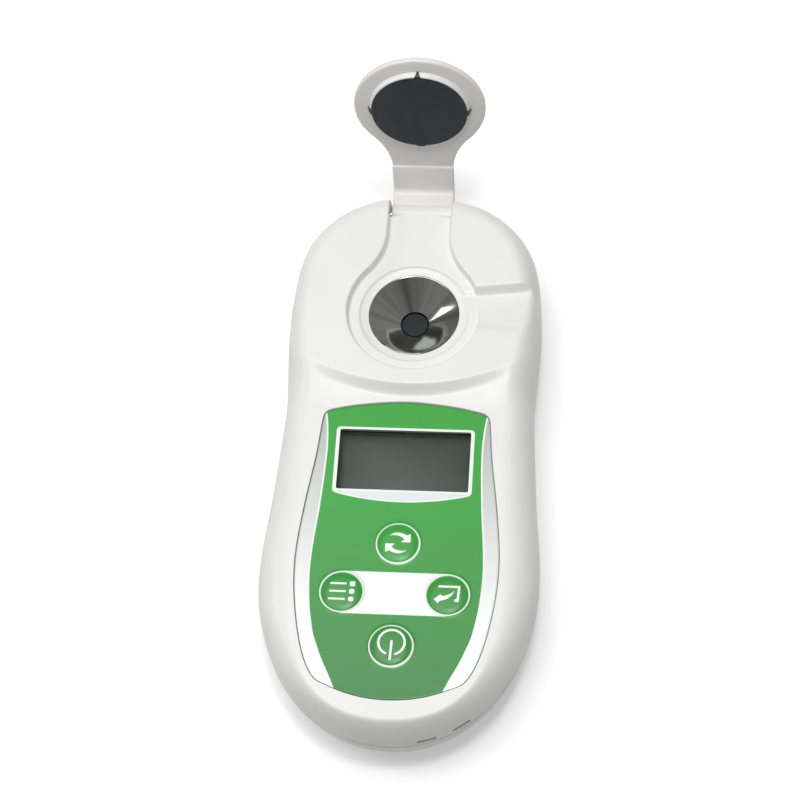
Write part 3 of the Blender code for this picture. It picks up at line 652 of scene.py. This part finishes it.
RECESS_WALL = (0.55, 0.2)  # width and rounding of each edge, as ramp() takes them
SEAT_WALL = (0.22, 0.09)
CHANNEL_UPPER = (1.5, 0.5)
CHANNEL_LOWER = (3.2, 1.5)
DISH = ((BORE_R, 21.17), (11.2, 21.42), (11.45, 21.55), (11.75, SEAT_Z))  # radii and heights
STEP_WIDTH = 2.6  # the step up to the head, where it is steep
STEP_FADE = 8.5  # and its gentle part, which takes over towards the sides
STEP_ROUNDING = (1.1, 0.5)  # at the foot and the crest


def step_level(points):
    """The face climbs from panel to head along an arc: steeply in the middle, gently at the sides."""
    beyond = STEP_R - np.hypot(points[:, 0], points[:, 1] - STEP_CENTRE_Y)
    steep = ramp(beyond + STEP_WIDTH, STEP_WIDTH, *STEP_ROUNDING)
    gentle = ramp(beyond + STEP_FADE, STEP_FADE, 4.0, 0.8)
    share = np.clip(np.abs(points[:, 0]) / 21, 0, 1) ** 2
    return PANEL_Z + (HEAD_Z - PANEL_Z) * (steep + (gentle - steep) * share)


def channel_upper(x):
    return 38.6 + 0.12 * (x - 13.9)


def channel_lower(x):
    return 27.0 - 0.13 * (x - 15)


def sink(z, floor, amount):
    """Lower z to the floor by the given share, rounding the edge where both meet."""
    rounding = 0.35
    mean, half = (z + floor) / 2, (z - floor) / 2
    lower = mean - np.sqrt(half ** 2 + rounding ** 2 / 4)
    lower = np.where(z - floor > 1.5 * rounding, floor, np.minimum(z, lower + rounding / 6))
    return z + (lower - z) * amount


def case_height(points):
    """Height of the case's top at points in plan."""
    x, y = points.T
    level = step_level(points)
    beyond_face = np.maximum(-inside_distance(points, face_line), 0)
    to_edge = np.maximum(inside_distance(points, wide_line), 0)
    share = beyond_face / np.maximum(beyond_face + to_edge, 1e-6)
    crease = 0.35 * ramp(-40 - y, 12, 4)
    share = crease + (1 - crease) * share
    dome = np.sqrt(np.maximum(1 - share ** 2, 0)) / np.sqrt(1 - crease ** 2)
    z = WIDEST_Z + (level - WIDEST_Z) * dome
    inside_recess = ramp(keyhole_distance(points), *RECESS_WALL)
    z = z + (np.minimum(z, SEAT_Z) - z) * inside_recess
    radius = np.hypot(x - WELL[0], y - WELL[1])
    z = np.minimum(z, np.interp(radius, *np.transpose(DISH), right=99))
    channel = ramp(channel_upper(x) - y, *CHANNEL_UPPER) * ramp(y - channel_lower(x), *CHANNEL_LOWER)
    floor = CHANNEL_Z + CHANNEL_TILT * np.clip(channel_upper(x) - y, 0, 12)
    z = sink(z, floor, channel * ramp(x - 7, 2.0, 0.8))
    seat = ramp(inside_distance(points, overlay_seat), *SEAT_WALL)
    return z + (np.minimum(z, OVERLAY_FLOOR_Z) - z) * seat


def case_plan():
    plan = Plan()
    plan.line(wide_line)
    for angle in SHOULDER_DEG:
        plan.line(face_line + (wide_line - face_line) * math.cos(math.radians(angle)))
    plan.line(face_line)
    plan.line(grow(face_line, -0.35))
    for beyond in (-0.3, 0, 0.12, 0.25, 0.38, 0.5, 1.0, 1.5, 1.75, 2.0, 2.3, STEP_WIDTH, STEP_WIDTH + 0.3):
        plan.line(arc((0, STEP_CENTRE_Y), STEP_R + beyond, 214, 326, 120), closed=False)
    for d in ramp_lines(*RECESS_WALL):
        plan.line(keyhole_line(d, 70), closed=False)
    for d in ramp_lines(*SEAT_WALL):
        plan.line(grow(overlay_seat, -d))
    xs = np.arange(7.6, 33, 0.8)
    for d in ramp_lines(*CHANNEL_UPPER):
        plan.line(np.column_stack([xs, channel_upper(xs) - d]), closed=False)
    for d in ramp_lines(*CHANNEL_LOWER):
        plan.line(np.column_stack([xs, channel_lower(xs) + d]), closed=False)
    for radius in (9.4, BORE_R, 10.4, 11.2, 11.32, 11.45, 11.6, 11.75, 11.95):
        plan.line(circle(WELL, radius, 128))
    spots = hexagonal(-24, 24, -60, 60, 1.5)
    spots = spots[inside_distance(spots, face_line) > 0.8]
    near = np.abs(keyhole_distance(spots) - 0.3) < 0.9
    near |= np.abs(inside_distance(spots, overlay_seat)) < 0.7
    near |= np.hypot(spots[:, 0], spots[:, 1] - WELL[1]) < 12.4
    plan.scatter(spots[~near])
    return plan


def front_housing():
    points, faces = case_plan().mesh(lambda centres: inside_distance(centres, wide_line) > 0)
    heights = case_height(points)
    after = dict(border(faces))
    loop = [min(after)]
    while after[loop[-1]] != loop[0]:
        loop.append(after[loop[-1]])
    edge = points[loop]
    heights[loop] = WIDEST_Z
    rim = SPLIT_Z + SEAM
    skirt = [(0, rim + 0.35), (0.05, rim + 0.12), (0.2, rim), (WALL, rim), (WALL, WIDEST_Z), (2.6, 15.5),
             (4.2, 18.2), (6.5, 19.2)]
    verts = [lift(points, heights)]
    faces = [tuple(face) for face in faces]
    last, count = loop, len(loop)
    total = len(points)
    for inwards, z in skirt:
        verts.append(lift(grow(edge, -inwards), z))
        ring = list(range(total, total + count))
        faces += [(last[k], ring[k], ring[(k + 1) % count], last[(k + 1) % count]) for k in range(count)]
        last, total = ring, total + count
    faces.append(tuple(last))
    case = solid(np.concatenate(verts), faces)
    cheek = [(54.6, rim), (61.2, rim), (61.2, 17.0), (59.3, 19.8), (54.6, 20.2)]
    weld(case, side_plate(cheek, -10.2, 10.2))
    xs = np.linspace(NECK_HALF, -NECK_HALF, 15)
    slot_front = np.column_stack([xs, 57.1 - 0.9 * (xs / NECK_HALF) ** 2]).tolist()
    cut(case, plate([(-NECK_HALF, 70), (NECK_HALF, 70)] + slot_front, 12.9, 30))
    cut(case, turned([(0, 10), (BORE_R, 10), (BORE_R, 30), (0, 30)], WELL_UP, 128))
    x0, x1, y0, y1 = WINDOW
    cut(case, block(x0 - 0.65, x1 + 0.65, y0 - 0.65, y1 + 0.65, 15, 26, radius=0.9))
    for x, y in KEYS.values():
        cut(case, turned([(0, 15), (2.1, 15), (2.1, 20), (4.6, 20), (4.6, 26), (0, 26)], (x, y, 0), 64))
    cut(case, rod(PIN_R + 0.05, 9.2))
    cut(case, strap_slot(7.6, -60.4, 17), strap_slot(14.6, -57.4, 29))
    make_piece("front_housing_shell", [(case, white)], "body", ["front_housing"], 58)


def strap_slot(x, y, turn_deg):
    """A slot in the end wall that a wrist strap passes through."""
    slot = block(-2.0, 2.0, -4.0, 3.0, -0.65, 0.65, edge=0.25, radius=0.3)
    slot.data.transform(placing((x, y, WIDEST_Z + 0.6), turn_deg))
    return slot


def back_rings(inwards, angles):
    """Outlines of the rounded back, or of its inner side, at angles below the widest one."""
    wide, back = grow(wide_line, -inwards), grow(back_line, -inwards)
    for angle in angles:
        share, drop = cos_sin(math.radians(angle))
        yield lift(back + (wide - back) * share, WIDEST_Z - (WIDEST_Z - inwards) * drop)


def rear_housing():
    top = SPLIT_Z - SEAM
    seam_deg = math.degrees(math.asin((WIDEST_Z - top + 0.3) / WIDEST_Z))
    lip = [lift(grow(wide_line, -0.22), top), lift(grow(wide_line, -0.07), top - 0.1)]
    case = stack(lip + list(back_rings(0, (seam_deg, 10, 15, 21, 28, 36, 45, 54, 63, 72, 80, 86, 90))))
    inner_top = lift(grow(wide_line, -WALL), 14)
    cut(case, stack(list(back_rings(WALL, (90, 66, 45, 25, 12))) + [inner_top]))
    # the step that the seal sits in
    step = ((-0.45, SPLIT_Z - 1.2), (-0.45, SPLIT_Z + 1), (-1.6, SPLIT_Z + 1), (-1.6, SPLIT_Z - 1.2))
    cut(case, stack([lift(grow(wide_line, inwards), z) for inwards, z in step], ring_shaped=True))
    weld(case, block(-13.1, 13.1, -50.0, 4.5, 1.0, 14.2))
    for x, y in SCREW_POSTS:
        weld(case, turned([(0, 2.4), (3.4, 2.4), (3.4, top - 0.03), (0, top - 0.03)], (x, y, 0), 48))
    cut(case, block(-12.6, 12.6, -50.2, -3.0, -2, 1.9, radius=2.2))
    cut(case, block(-11.6, 11.6, -48.5, 3.0, 1.8, 13.4, radius=1.2))
    for x in DOOR_TONGUES:
        cut(case, block(x - 2.3, x + 2.3, -52.6, -48.2, 1.1, 3.3))
    for x, y in SCREW_POSTS:
        bore = [(0, -2), (3.2, -2), (3.2, 0), (2.6, 0.6), (2.6, 6.4), (1.5, 6.4), (1.5, 13), (0, 13)]
        cut(case, turned(bore, (x, y, 0), 48))
    for x in (-5.6, 5.6):
        cut(case, block(x - 1.4, x + 1.4, -48.6, -47.4, 12.4, 15.2))
    # a thumb notch in front of the door's latch
    cut(case, turned([(0, -2), (4.2, -2), (4.2, 0), (3.4, 0.75), (0, 0.9)], (0, -2.2, 0), 64))
    make_piece("rear_housing_shell", [(case, white)], "body", ["rear_housing"], 40)


def battery_door():
    tongue_end = box_mm("battery_door")[0][1]
    door = plate(rectangle(-12.3, 12.3, -49.9, -3.3, 1.9), 0.0, 1.6, 0.25)
    for x in DOOR_TONGUES:
        weld(door, block(x - 1.9, x + 1.9, tongue_end, -49.0, 1.45, 2.6, 0.15))
    latch = [(-4.6, 1.3), (-3.9, 1.3), (-3.9, 2.7), (-3.5, 2.9), (-3.9, 3.5), (-4.6, 3.5)]
    weld(door, side_plate(latch, -1.8, 1.8, 0.1))
    # thumb grip: a row of shallow curved grooves
    for k in range(7):
        y = -6.4 - 1.25 * k
        half = 5.2 - 0.3 * abs(k - 3)
        cut(door, block(-half, half, y - 0.34, y + 0.34, -1, 0.32, radius=0.33))
    make_piece("battery_door_panel", [(door, white)], "door", ["battery_door"])


# ---- keypad
# Radius and rise of the bead round each key
BEAD = [(4.22, -0.02), (4.3, 0.12), (4.4, 0.19), (4.52, 0.17), (4.66, 0.07), (5.0, 0.0)]
RING_EDGE_R = 4.62  # outer edge of the white print on the bead
# Two of the printed rings are drawn thicker at the bottom: a painted highlight on the bead
RING_PRINT_AND_HIGHLIGHT_CENTRES = {key: np.add(spot, (0.04, -0.13) if key in ("refresh", "power") else (0, 0))
                for key, spot in KEYS.items()}
BAND_HALF = 4.7
LINE = 0.35  # width of the thin white print lines
INK, SILVER, PRINT, BAND, LENS = range(5)  # regions of the film
LENS_DROP = 1.9  # the silver lens under the display hangs this much lower in the middle


def frame_outline(inwards=0.0):
    """The silver and white round the display, down to the lens's lower edge."""
    xs = np.linspace(-13.4, 13.4, 41)
    lens_bottom = WINDOW[2] - 0.85 - LENS_DROP * (1 - (xs / 14.3) ** 2)
    lower = np.column_stack([xs, lens_bottom + inwards])
    left = arc((-13.45 + inwards, -9.35), 1.05 - inwards, 250, 180, 8)
    right = left * (-1, 1)
    corner = arc((13.6, 4.15), 0.9, 0, 90, 6)
    return np.concatenate([lower[1:-1], right, corner, corner[::-1] * (-1, 1), left[::-1]])


def green_half(y):
    """Half width of the green print, as a smooth curve through its points."""
    knots = np.array(GREEN, float)[::-1]
    at = np.interp(y, knots[:, 1], np.arange(len(knots)))
    index = np.clip(np.floor(at).astype(int), 0, len(knots) - 2)
    near = (knots[np.clip(index + k, 0, len(knots) - 1), 0] for k in (-1, 0, 1, 2))
    return smooth(*near, at - index)


def keypad_overlay():
    """One film: prints as regions of its mesh, a bead round each key, openings for keys and display."""
    window = rectangle(*WINDOW, 0.5)
    lens = frame_outline(LINE)
    outer = frame_outline()
    plan = Plan()
    for line in (overlay_line, grow(overlay_line, -0.1), grow(overlay_line, -0.3), window, lens, outer):
        plan.line(line)
    shelf = WINDOW[2] - 0.42
    plan.line([(-13.9, shelf), (13.9, shelf)], closed=False)
    for key, spot in KEYS.items():
        for radius in [r for r, _ in BEAD] + [5.3]:
            plan.line(circle(spot, radius, 80))
        plan.line(circle(RING_PRINT_AND_HIGHLIGHT_CENTRES[key], RING_EDGE_R, 80))
    ys = np.arange(12, -58, -1.0)
    for sign in (-1, 1):
        for extra in (0, LINE):
            plan.line(np.column_stack([sign * (green_half(ys) + extra), ys]), closed=False)
    menu_x, band_y = KEYS["menu"]
    band_xs = np.arange(menu_x, -menu_x + 0.1, 0.9)
    for half in (BAND_HALF - LINE, BAND_HALF):
        for sign in (-1, 1):
            plan.line(np.column_stack([band_xs, np.full(len(band_xs), band_y + sign * half)]), closed=False)
    plan.scatter(hexagonal(-21, 21, -56, 12, 2.0))

    def keep(centres):
        inside = (inside_distance(centres, overlay_line) > 0) & (inside_distance(centres, window) < 0)
        for spot in KEYS.values():
            inside &= np.hypot(*(centres - spot).T) > BEAD[0][0]
        return inside

    points, faces = plan.mesh(keep)
    heights = np.full(len(points), OVERLAY_HIGH)
    for spot in KEYS.values():
        distance = np.hypot(*(points - spot).T)
        heights += np.interp(distance, *np.transpose(BEAD))
    heights[inside_distance(points, overlay_line) < 0.05] -= 0.05
    centres = points[faces].mean(1)
    x, y = centres.T
    edge = np.abs(x) - green_half(y)
    kind = np.where(edge > LINE, SILVER, np.where(edge > 0, PRINT, INK))
    band = (np.abs(x) < -menu_x) & (np.abs(y - band_y) < BAND_HALF)
    kind[band] = np.where(np.abs(y - band_y)[band] > BAND_HALF - LINE, PRINT, BAND)
    kind[inside_distance(centres, outer) > 0] = PRINT
    kind[(inside_distance(centres, lens) > 0) & (y < shelf)] = LENS
    # white print rings; the thicker bottom of two of them is a painted highlight
    for spot in RING_PRINT_AND_HIGHLIGHT_CENTRES.values():
        kind[np.hypot(*(centres - spot).T) < RING_EDGE_R] = PRINT
    count = len(points)
    verts = np.concatenate([lift(points, heights), lift(points, OVERLAY_LOW)])
    walls = [(b, a, a + count, b + count) for a, b in border(faces)]
    sheet = solid(verts, np.concatenate([faces, faces[:, ::-1] + count]).tolist() + walls)
    kinds = np.concatenate([kind, np.zeros(len(kind) + len(walls), int)])
    sheet.data.polygons.foreach_set("material_index", kinds)
    mats = [green, silver_film, white_print, band_film, lens_film]
    make_piece("keypad_film", [(sheet, mats)], "body", ["keypad_overlay"], 30)


ARROW = [(-1.95, 1.65), (-1.2, 1.8), (-0.41, 1.78), (0.1, 1.65), (0.62, 1.43), (1.0, 1.2), (1.3, 0.85),
         (0.62, 0.18), (2.67, 0.18), (2.6, 2.14), (1.71, 1.78), (1.25, 2.1), (0.62, 2.32), (0, 2.42),
         (-0.75, 2.32), (-1.3, 2.1)]


def stroke(points, width):
    """A flat line of even width with round ends, as one outline."""
    points = np.array(points, float)
    along = np.gradient(points, axis=0)
    along /= np.linalg.norm(along, axis=1)[:, None]
    across = np.stack([-along[:, 1], along[:, 0]], axis=1) * width / 2
    ends = []
    for point, direction in ((points[-1], along[-1]), (points[0], -along[0])):
        start = math.degrees(math.atan2(direction[1], direction[0]))
        ends.append(arc(point, width / 2, start - 90, start + 90, 7))
    return np.concatenate([points - across, ends[0], (points + across)[::-1], ends[1]])


def refresh_icon():
    """Two curved arrows that chase each other."""
    arrow = rounded(ARROW, 0.12, 3)
    return [arrow, -arrow]


def menu_icon():
    shapes = []
    for row, y in enumerate((1.78, 0.02, -1.74)):
        shapes.append(stroke([(-2.3 - 0.13 * row, y), (0.75 - 0.05 * row, y)], 0.46))
        middle = 2.2 - 0.08 * row
        shapes.append(rectangle(middle - 0.56, middle + 0.56, y - 0.56, y + 0.56, 0.2 + 0.17 * row))
    return shapes


def enter_icon():
    """A bracket with a hooked end, and an arrow that bends back under it."""
    bracket = [(-2.05, 1.6), (2.1, 1.6), (1.95, -0.95), (1.5, -0.95), (1.45, -1.55), (2.4, -1.6),
               (2.65, 2.1), (-2.0, 2.1)]
    arrow = [(1.45, 0.95), (0.7, 0.3), (-0.3, -0.15), (-1.15, -0.35), (-1.45, 0.1), (-2.85, -1.05),
             (-1.95, -2.0), (-1.6, -1.45), (-0.6, -1.2), (0.3, -0.7), (0.95, 0.0)]
    return [rounded(bracket, 0.15, 4), rounded(arrow, 0.15, 4)]


def power_icon():
    ring = arc((0.1, 0.7), 2.75, 290, 605, 60)
    return [stroke(ring, 0.5), stroke([(0.1, 0.95), (-0.05, -3.1)], 0.5)]


ICONS = {"refresh": refresh_icon, "menu": menu_icon, "enter": enter_icon, "power": power_icon}


# Steps of a key's side: inwards from KEY_R, down from KEY_TOP
KEY_SIDE = [(0, 0.32), (0.12, 0.26), (0.5, 0.16), (0.85, 0.07), (1.1, 0.02), (1.4, 0)]


def key_cap(key):
    x, y = KEYS[key]
    foot = OVERLAY_LOW - 0.25
    profile = [(0, 19.9), (1.7, 19.9), (1.7, foot), (KEY_R, foot)]
    profile += [(KEY_R - inwards, KEY_TOP - down) for inwards, down in KEY_SIDE] + [(0, KEY_TOP)]
    parts = [(turned(profile, (x, y, 0), 128), key_green)]
    for outline in ICONS[key]():
        parts.append((plate(np.array(outline) * 0.97 + (x, y), KEY_TOP - 0.04, KEY_TOP + 0.035), white_print))
    make_piece(key + "_key_cap", parts, key + "_button", [key + "_key"])


# ---- display
def slab(node, z0, z1, edge=0.0, radius=0.0, inset=(0, 0, 0, 0)):
    """A block over a node's own box, set in by the given lengths at x0, x1, y0 and y1."""
    low, high = box_mm(node)
    left, right, front, back = inset
    return block(low[0] + left, high[0] - right, low[1] + front, high[1] - back, z0, z1, edge, radius)


def display():
    node = "display_window"
    z0, z1 = (corner[2] for corner in box_mm(node))
    pane = slab(node, z0 + 0.2, z1, 0.08, 0.6)
    rim = slab(node, z0, z0 + 0.16, 0, 0.6)
    cut(rim, slab(node, z0 - 1, z1 + 1, 0, 0.4, (0.5, 0.5, 0.3, 0.6)))
    make_piece("display_window_pane", [(pane, window_clear), (rim, window_border)], "body", [node])
    node = "display_glass"
    z0, z1 = (corner[2] for corner in box_mm(node))
    base = slab(node, z0, z0 + 0.55, 0.05)
    upper = slab(node, z0 + 0.56, z1 - 0.2, 0.05, 0, (0, 0, 1.6, 0.2))
    film = slab(node, z1 - 0.19, z1, 0.04, 0, (0.02, 0.02, 1.62, 0.22))
    make_piece("display_cell", [(base, display_edge), (upper, display_edge), (film, display_face)], "body",
               [node])


# ---- optics that show
def sample_well():
    low, high = box_mm("sample_well")
    outer_r, inner_r, flange_r = 9.65, 3.1, (high[0] - low[0]) / 2
    cone = [(inner_r, 16.9), (3.2, 16.95), (6.3, 19.05)]
    crown = [(9.38, RIM_Z - 0.06), (9.46, RIM_Z - 0.02), (9.53, RIM_Z), (9.6, RIM_Z - 0.03),
             (outer_r, RIM_Z - 0.12)]
    outside = [(outer_r, 17.4), (flange_r, 17.4), (flange_r, 16.0), (8.4, 16.0), (6.6, low[2]),
               (inner_r, low[2])]
    shape = turned(cone + crown + outside, WELL_UP, 160)
    make_piece("sample_well_cone", [(shape, steel)], "body", ["sample_well"])


def prism():
    low, high = box_mm("prism")
    y, face = WELL[1], high[2]
    top = 14.5  # of the part with the slanted sides
    lower = side_plate([(y - 3.0, low[2]), (y + 3.0, low[2]), (y + 6.0, top), (y - 6.0, top)], -4, 4, 0.15)
    neck = [(0, top - 0.8), (2.8, top - 0.8), (2.8, face - 0.12), (2.68, face), (0, face)]
    weld(lower, turned(neck, (0, y, 0), 96))
    make_piece("prism_block", [(lower, prism_glass)], "body", ["prism"])


# ---- cover
def leg_profile():
    """Side view of the cover's leg, from the pin round the corner."""
    y, z = HINGE[1:]
    outer = [(y + 2.25, z), (y + 2.3, z + 1.2)] + arc((59.2, 21.35), 3.05, 0, 90, 12).tolist()
    inner = [(50.6, 24.4), (50.6, 22.35), (50.85, 22.2)] + arc((57.0, 20.9), 1.3, 90, 0, 8).tolist()
    return outer + inner + [(y - 1.7, z)]


def flip_cover():
    """Drawn closed, then turned open about the hinge."""
    cover = plate(keyhole_line(0.35, HINGE[1] - 2.4), 22.9, 24.4, 0.5)
    weld(cover, side_plate(leg_profile(), -LEG_HALF, LEG_HALF, 0.35))
    boss = [(0, 21.78), (10.35, 21.78), (10.5, 21.84), (10.6, 22.0), (10.9, 23.0), (10.9, 23.4), (0, 23.4)]
    weld(cover, turned(boss, WELL_UP, 128))
    weld(cover, rod(BARREL_R, LEG_HALF, 0.2))
    cut(cover, rod(PIN_R + 0.05, 20))
    hinge = Vector(HINGE)
    turn = Matrix.Rotation(math.radians(-OPEN_DEG), 4, "X")
    turn = Matrix.Translation(hinge) @ turn @ Matrix.Translation(-hinge)
    make_piece("flip_cover_shell", [(cover, cover_white)], "cover", ["flip_cover"], 40, turn)
    make_piece("cover_pad_disc", [(cover_pad(), pad_rubber)], "cover", ["cover_pad"], 50, turn)


def cover_pad():
    """Soft disc with four pointed tabs that wrap over the boss."""
    face, back = 21.5, 21.76
    side = [(0, face), (9.9, face), (10.15, face + 0.03), (10.28, face + 0.1), (10.3, back), (0, back)]
    disc = turned(side, WELL_UP, 128)
    # a tab's underside follows the boss; each row is radius, height, half width
    rows = [(9.4, 21.5, 1.5), (9.9, 21.49, 1.15), (10.3, 21.5, 0.85), (10.62, 21.68, 0.62),
            (10.8, 22.0, 0.45), (10.95, 22.4, 0.32), (11.1, 22.86, 0.16)]
    thickness = 0.22
    for quarter in range(4):
        turn = placing(WELL_UP, 90 * quarter)
        rings = []
        for r, z, half in rows:
            inner_r, inner_z = r - thickness, z + thickness
            ring = [(r, -half, z), (r, 0, z - 0.05), (r, half, z), (inner_r, half, inner_z),
                    (inner_r, -half, inner_z)]
            rings.append([turn @ Vector(corner) for corner in ring])
        weld(disc, stack(rings))
    return disc


# ---- screws, batteries and the inside
def housing_screws():
    for number, (x, y) in enumerate(SCREW_POSTS, 1):
        node = f"housing_screw_{number}"
        z0, z1 = (corner[2] for corner in box_mm(node))
        profile = [(0, z0 + 0.05), (1.4, z0), (1.95, z0 + 0.25), (2.2, z0 + 0.8), (2.2, z0 + 1.9),
                   (1.1, z0 + 1.9), (1.1, z1 - 1.5), (0.4, z1), (0, z1)]
        shape = turned(profile, (x, y, 0), 48)
        for turn_deg in (25, 115):
            slot = block(-1.25, 1.25, -0.27, 0.27, -1, 1.0)
            slot.data.transform(placing((x, y, z0), turn_deg))
            cut(shape, slot)
        make_piece(node + "_cross", [(shape, zinc)], "body", [node])


def battery(side, nub_y, direction):
    """An AAA cell with a wrapped label and bare metal ends."""
    node = side + "_battery"
    x, _, z = centre_mm(node)
    tilt = Matrix.Rotation(math.radians(-90 * direction), 4, "X")
    r, foot = CELL_R, -44.5  # heights count from the nub's end
    wrap = [(0, foot + 0.35), (r - 0.5, foot + 0.35), (r - 0.5, foot + 0.2), (r - 0.15, foot + 0.2),
            (r, foot + 0.5), (r, -11.0), (0, -11.0)]
    stripe = [(0, -10.99), (r, -10.99), (r, -1.5), (r - 0.15, -1.2), (r - 0.9, -1.15), (r - 0.9, -1.3),
              (0, -1.3)]
    can = [(0, foot), (r - 1.1, foot), (r - 0.9, foot + 0.3), (0, foot + 0.3)]
    nub = [(0, -1.25), (r - 1.0, -1.25), (r - 1.1, -1.05), (1.95, -1.05), (1.9, -0.2), (1.7, 0), (0, 0)]
    parts = [(turned(profile, (x, nub_y, z), 64, tilt), mat)
             for profile, mat in ((wrap, cell_label), (stripe, cell_band), (can, zinc), (nub, zinc))]
    make_piece(node + "_cell", parts, "body", [node])


def battery_spring(side):
    node = side + "_battery_spring"
    low, high = box_mm(node)
    x, _, z = centre_mm(node)
    wire, turns, per_turn, around = 0.3, 3, 40, 12
    turn = math.tau * np.arange(turns * per_turn + 1)[:, None] / per_turn
    section = math.tau * np.arange(around) / around
    reach = (high[0] - low[0]) / 2 - wire + wire * np.cos(section)
    climb = (high[1] - low[1] - 2 * wire) * turn / turn[-1]
    y = low[1] + wire + climb + wire * np.sin(section)
    rings = np.stack([x + reach * np.cos(turn), y, z + reach * np.sin(turn)], axis=2)
    make_piece(node + "_coil", [(stack(rings), spring_steel)], "body", [node])


def carried_over():
    """Materials for the CAD pieces whose own shape stays."""
    groups = (
        (black_rubber, ["housing_seal", "well_seal", "lower_contact_strip", "upper_contact_strip"]),
        (metal("reflector", (0.75, 0.76, 0.77), (0.1, 0.2)), ["display_reflector"]),
        (grey_plastic, ["display_holder"] + [key + "_switch" for key in KEYS]),
        (black_plastic, ["controller_chip", "optics_block", "image_sensor"]),
        (black_plastic, [key + "_plunger" for key in KEYS]),
        (board_green, ["main_board", "led_board", "sensor_board"]),
        (zinc, ["clock_crystal", "temperature_probe", "left_optics_screw", "right_optics_screw"]),
        (zinc, [f"board_screw_{k}" for k in (1, 2, 3, 4)]),
        (ceramic, ["storage_capacitor"]),
        (amber, ["light_led"]),
        (clear("lens_glass", (0.85, 0.9, 0.9), 0.35), ["collimating_lens"]),
        (ribbon, ["ribbon_cable"]),
        (spring_steel, ["left_battery_terminal", "right_battery_terminal", "battery_bridge"]))
    for mat, nodes in groups:
        for node in nodes:
            mesh = frame["nodes"][node].data
            mesh.materials.clear()
            mesh.materials.append(mat)


# ---- studio
CAMERA_AT = (0.04539, -0.26104, 0.54182)
LENS_MM = 126.0
AZIMUTH, ELEVATION, ROLL = 0.170936, 1.082136, 0.1219465


def camera():
    """The photograph's angle: from above the chin, a little to the right, with a slight roll."""
    place = Matrix.Translation(CAMERA_AT) @ Matrix.Rotation(AZIMUTH, 4, "Z")
    tilt = Matrix.Rotation(math.pi / 2 - ELEVATION, 4, "X") @ Matrix.Rotation(-ROLL, 4, "Z")
    data = bpy.data.cameras.new("camera")
    data.lens = LENS_MM
    data.sensor_width = 36
    data.clip_start, data.clip_end = 0.01, 10
    obj = add_object("camera", data)
    obj.matrix_world = place @ tilt
    bpy.context.scene.camera = obj


def area_light(name, place, target, size, power):
    data = bpy.data.lights.new(name, "AREA")
    data.shape = "RECTANGLE"
    data.size, data.size_y = size
    data.energy = power
    obj = add_object(name, data)
    obj.location = place
    obj.rotation_euler = (Vector(target) - Vector(place)).to_track_quat("-Z", "Y").to_euler()


def studio():
    well = Vector((WELL[0] * MM, WELL[1] * MM, 0.02))
    area_light("key_light", (-0.12, 0.05, 0.88), (0, 0, 0), (0.6, 0.6), 4.3)
    area_light("small_light", (0.07, -0.06, 0.9), (0, 0, 0), (0.13, 0.13), 1.4)
    area_light("well_light", well + Vector((-0.905, 0.087, 0.416)) * 0.6, well, (0.24, 0.09), 0.36)
    world = bpy.data.worlds.new("studio")
    world.use_nodes = True
    fill(world.node_tree.nodes["Background"], {"Color": (1, 1, 1, 1), "Strength": 0.34})
    bpy.context.scene.world = world
    bpy.context.scene.view_settings.view_transform = "Standard"
    floor = Nodes("floor_paper", Specular_IOR_Level=0.2, Emission_Strength=0.2)
    floor.colour(floor.noise(6, 3), (0.93, 0.93, 0.93), (0.95, 0.95, 0.95))
    floor.roughness(floor.noise(80, 3), 0.8, 0.9)
    shape = block(-3000, 3000, -3000, 3000, -20.2, -0.2)
    shape.data.transform(Matrix.Scale(MM, 4))
    shape.name = "floor"
    shape.visible_diffuse = False  # the open sky lights the sides from below too, not the bright paper
    shape.data.materials.append(floor.mat)


# ---- assembly
front_housing()
rear_housing()
battery_door()
keypad_overlay()
for key_name in KEYS:
    key_cap(key_name)
display()
sample_well()
prism()
flip_cover()
make_piece("hinge_pin_rod", [(rod(PIN_R, 9.0, 0.15, 48), zinc)], "body", ["hinge_pin"])
housing_screws()
battery("left", 1.7, 1)
battery("right", -47.5, -1)
for side_name in ("left", "right"):
    battery_spring(side_name)
carried_over()
camera()
studio()
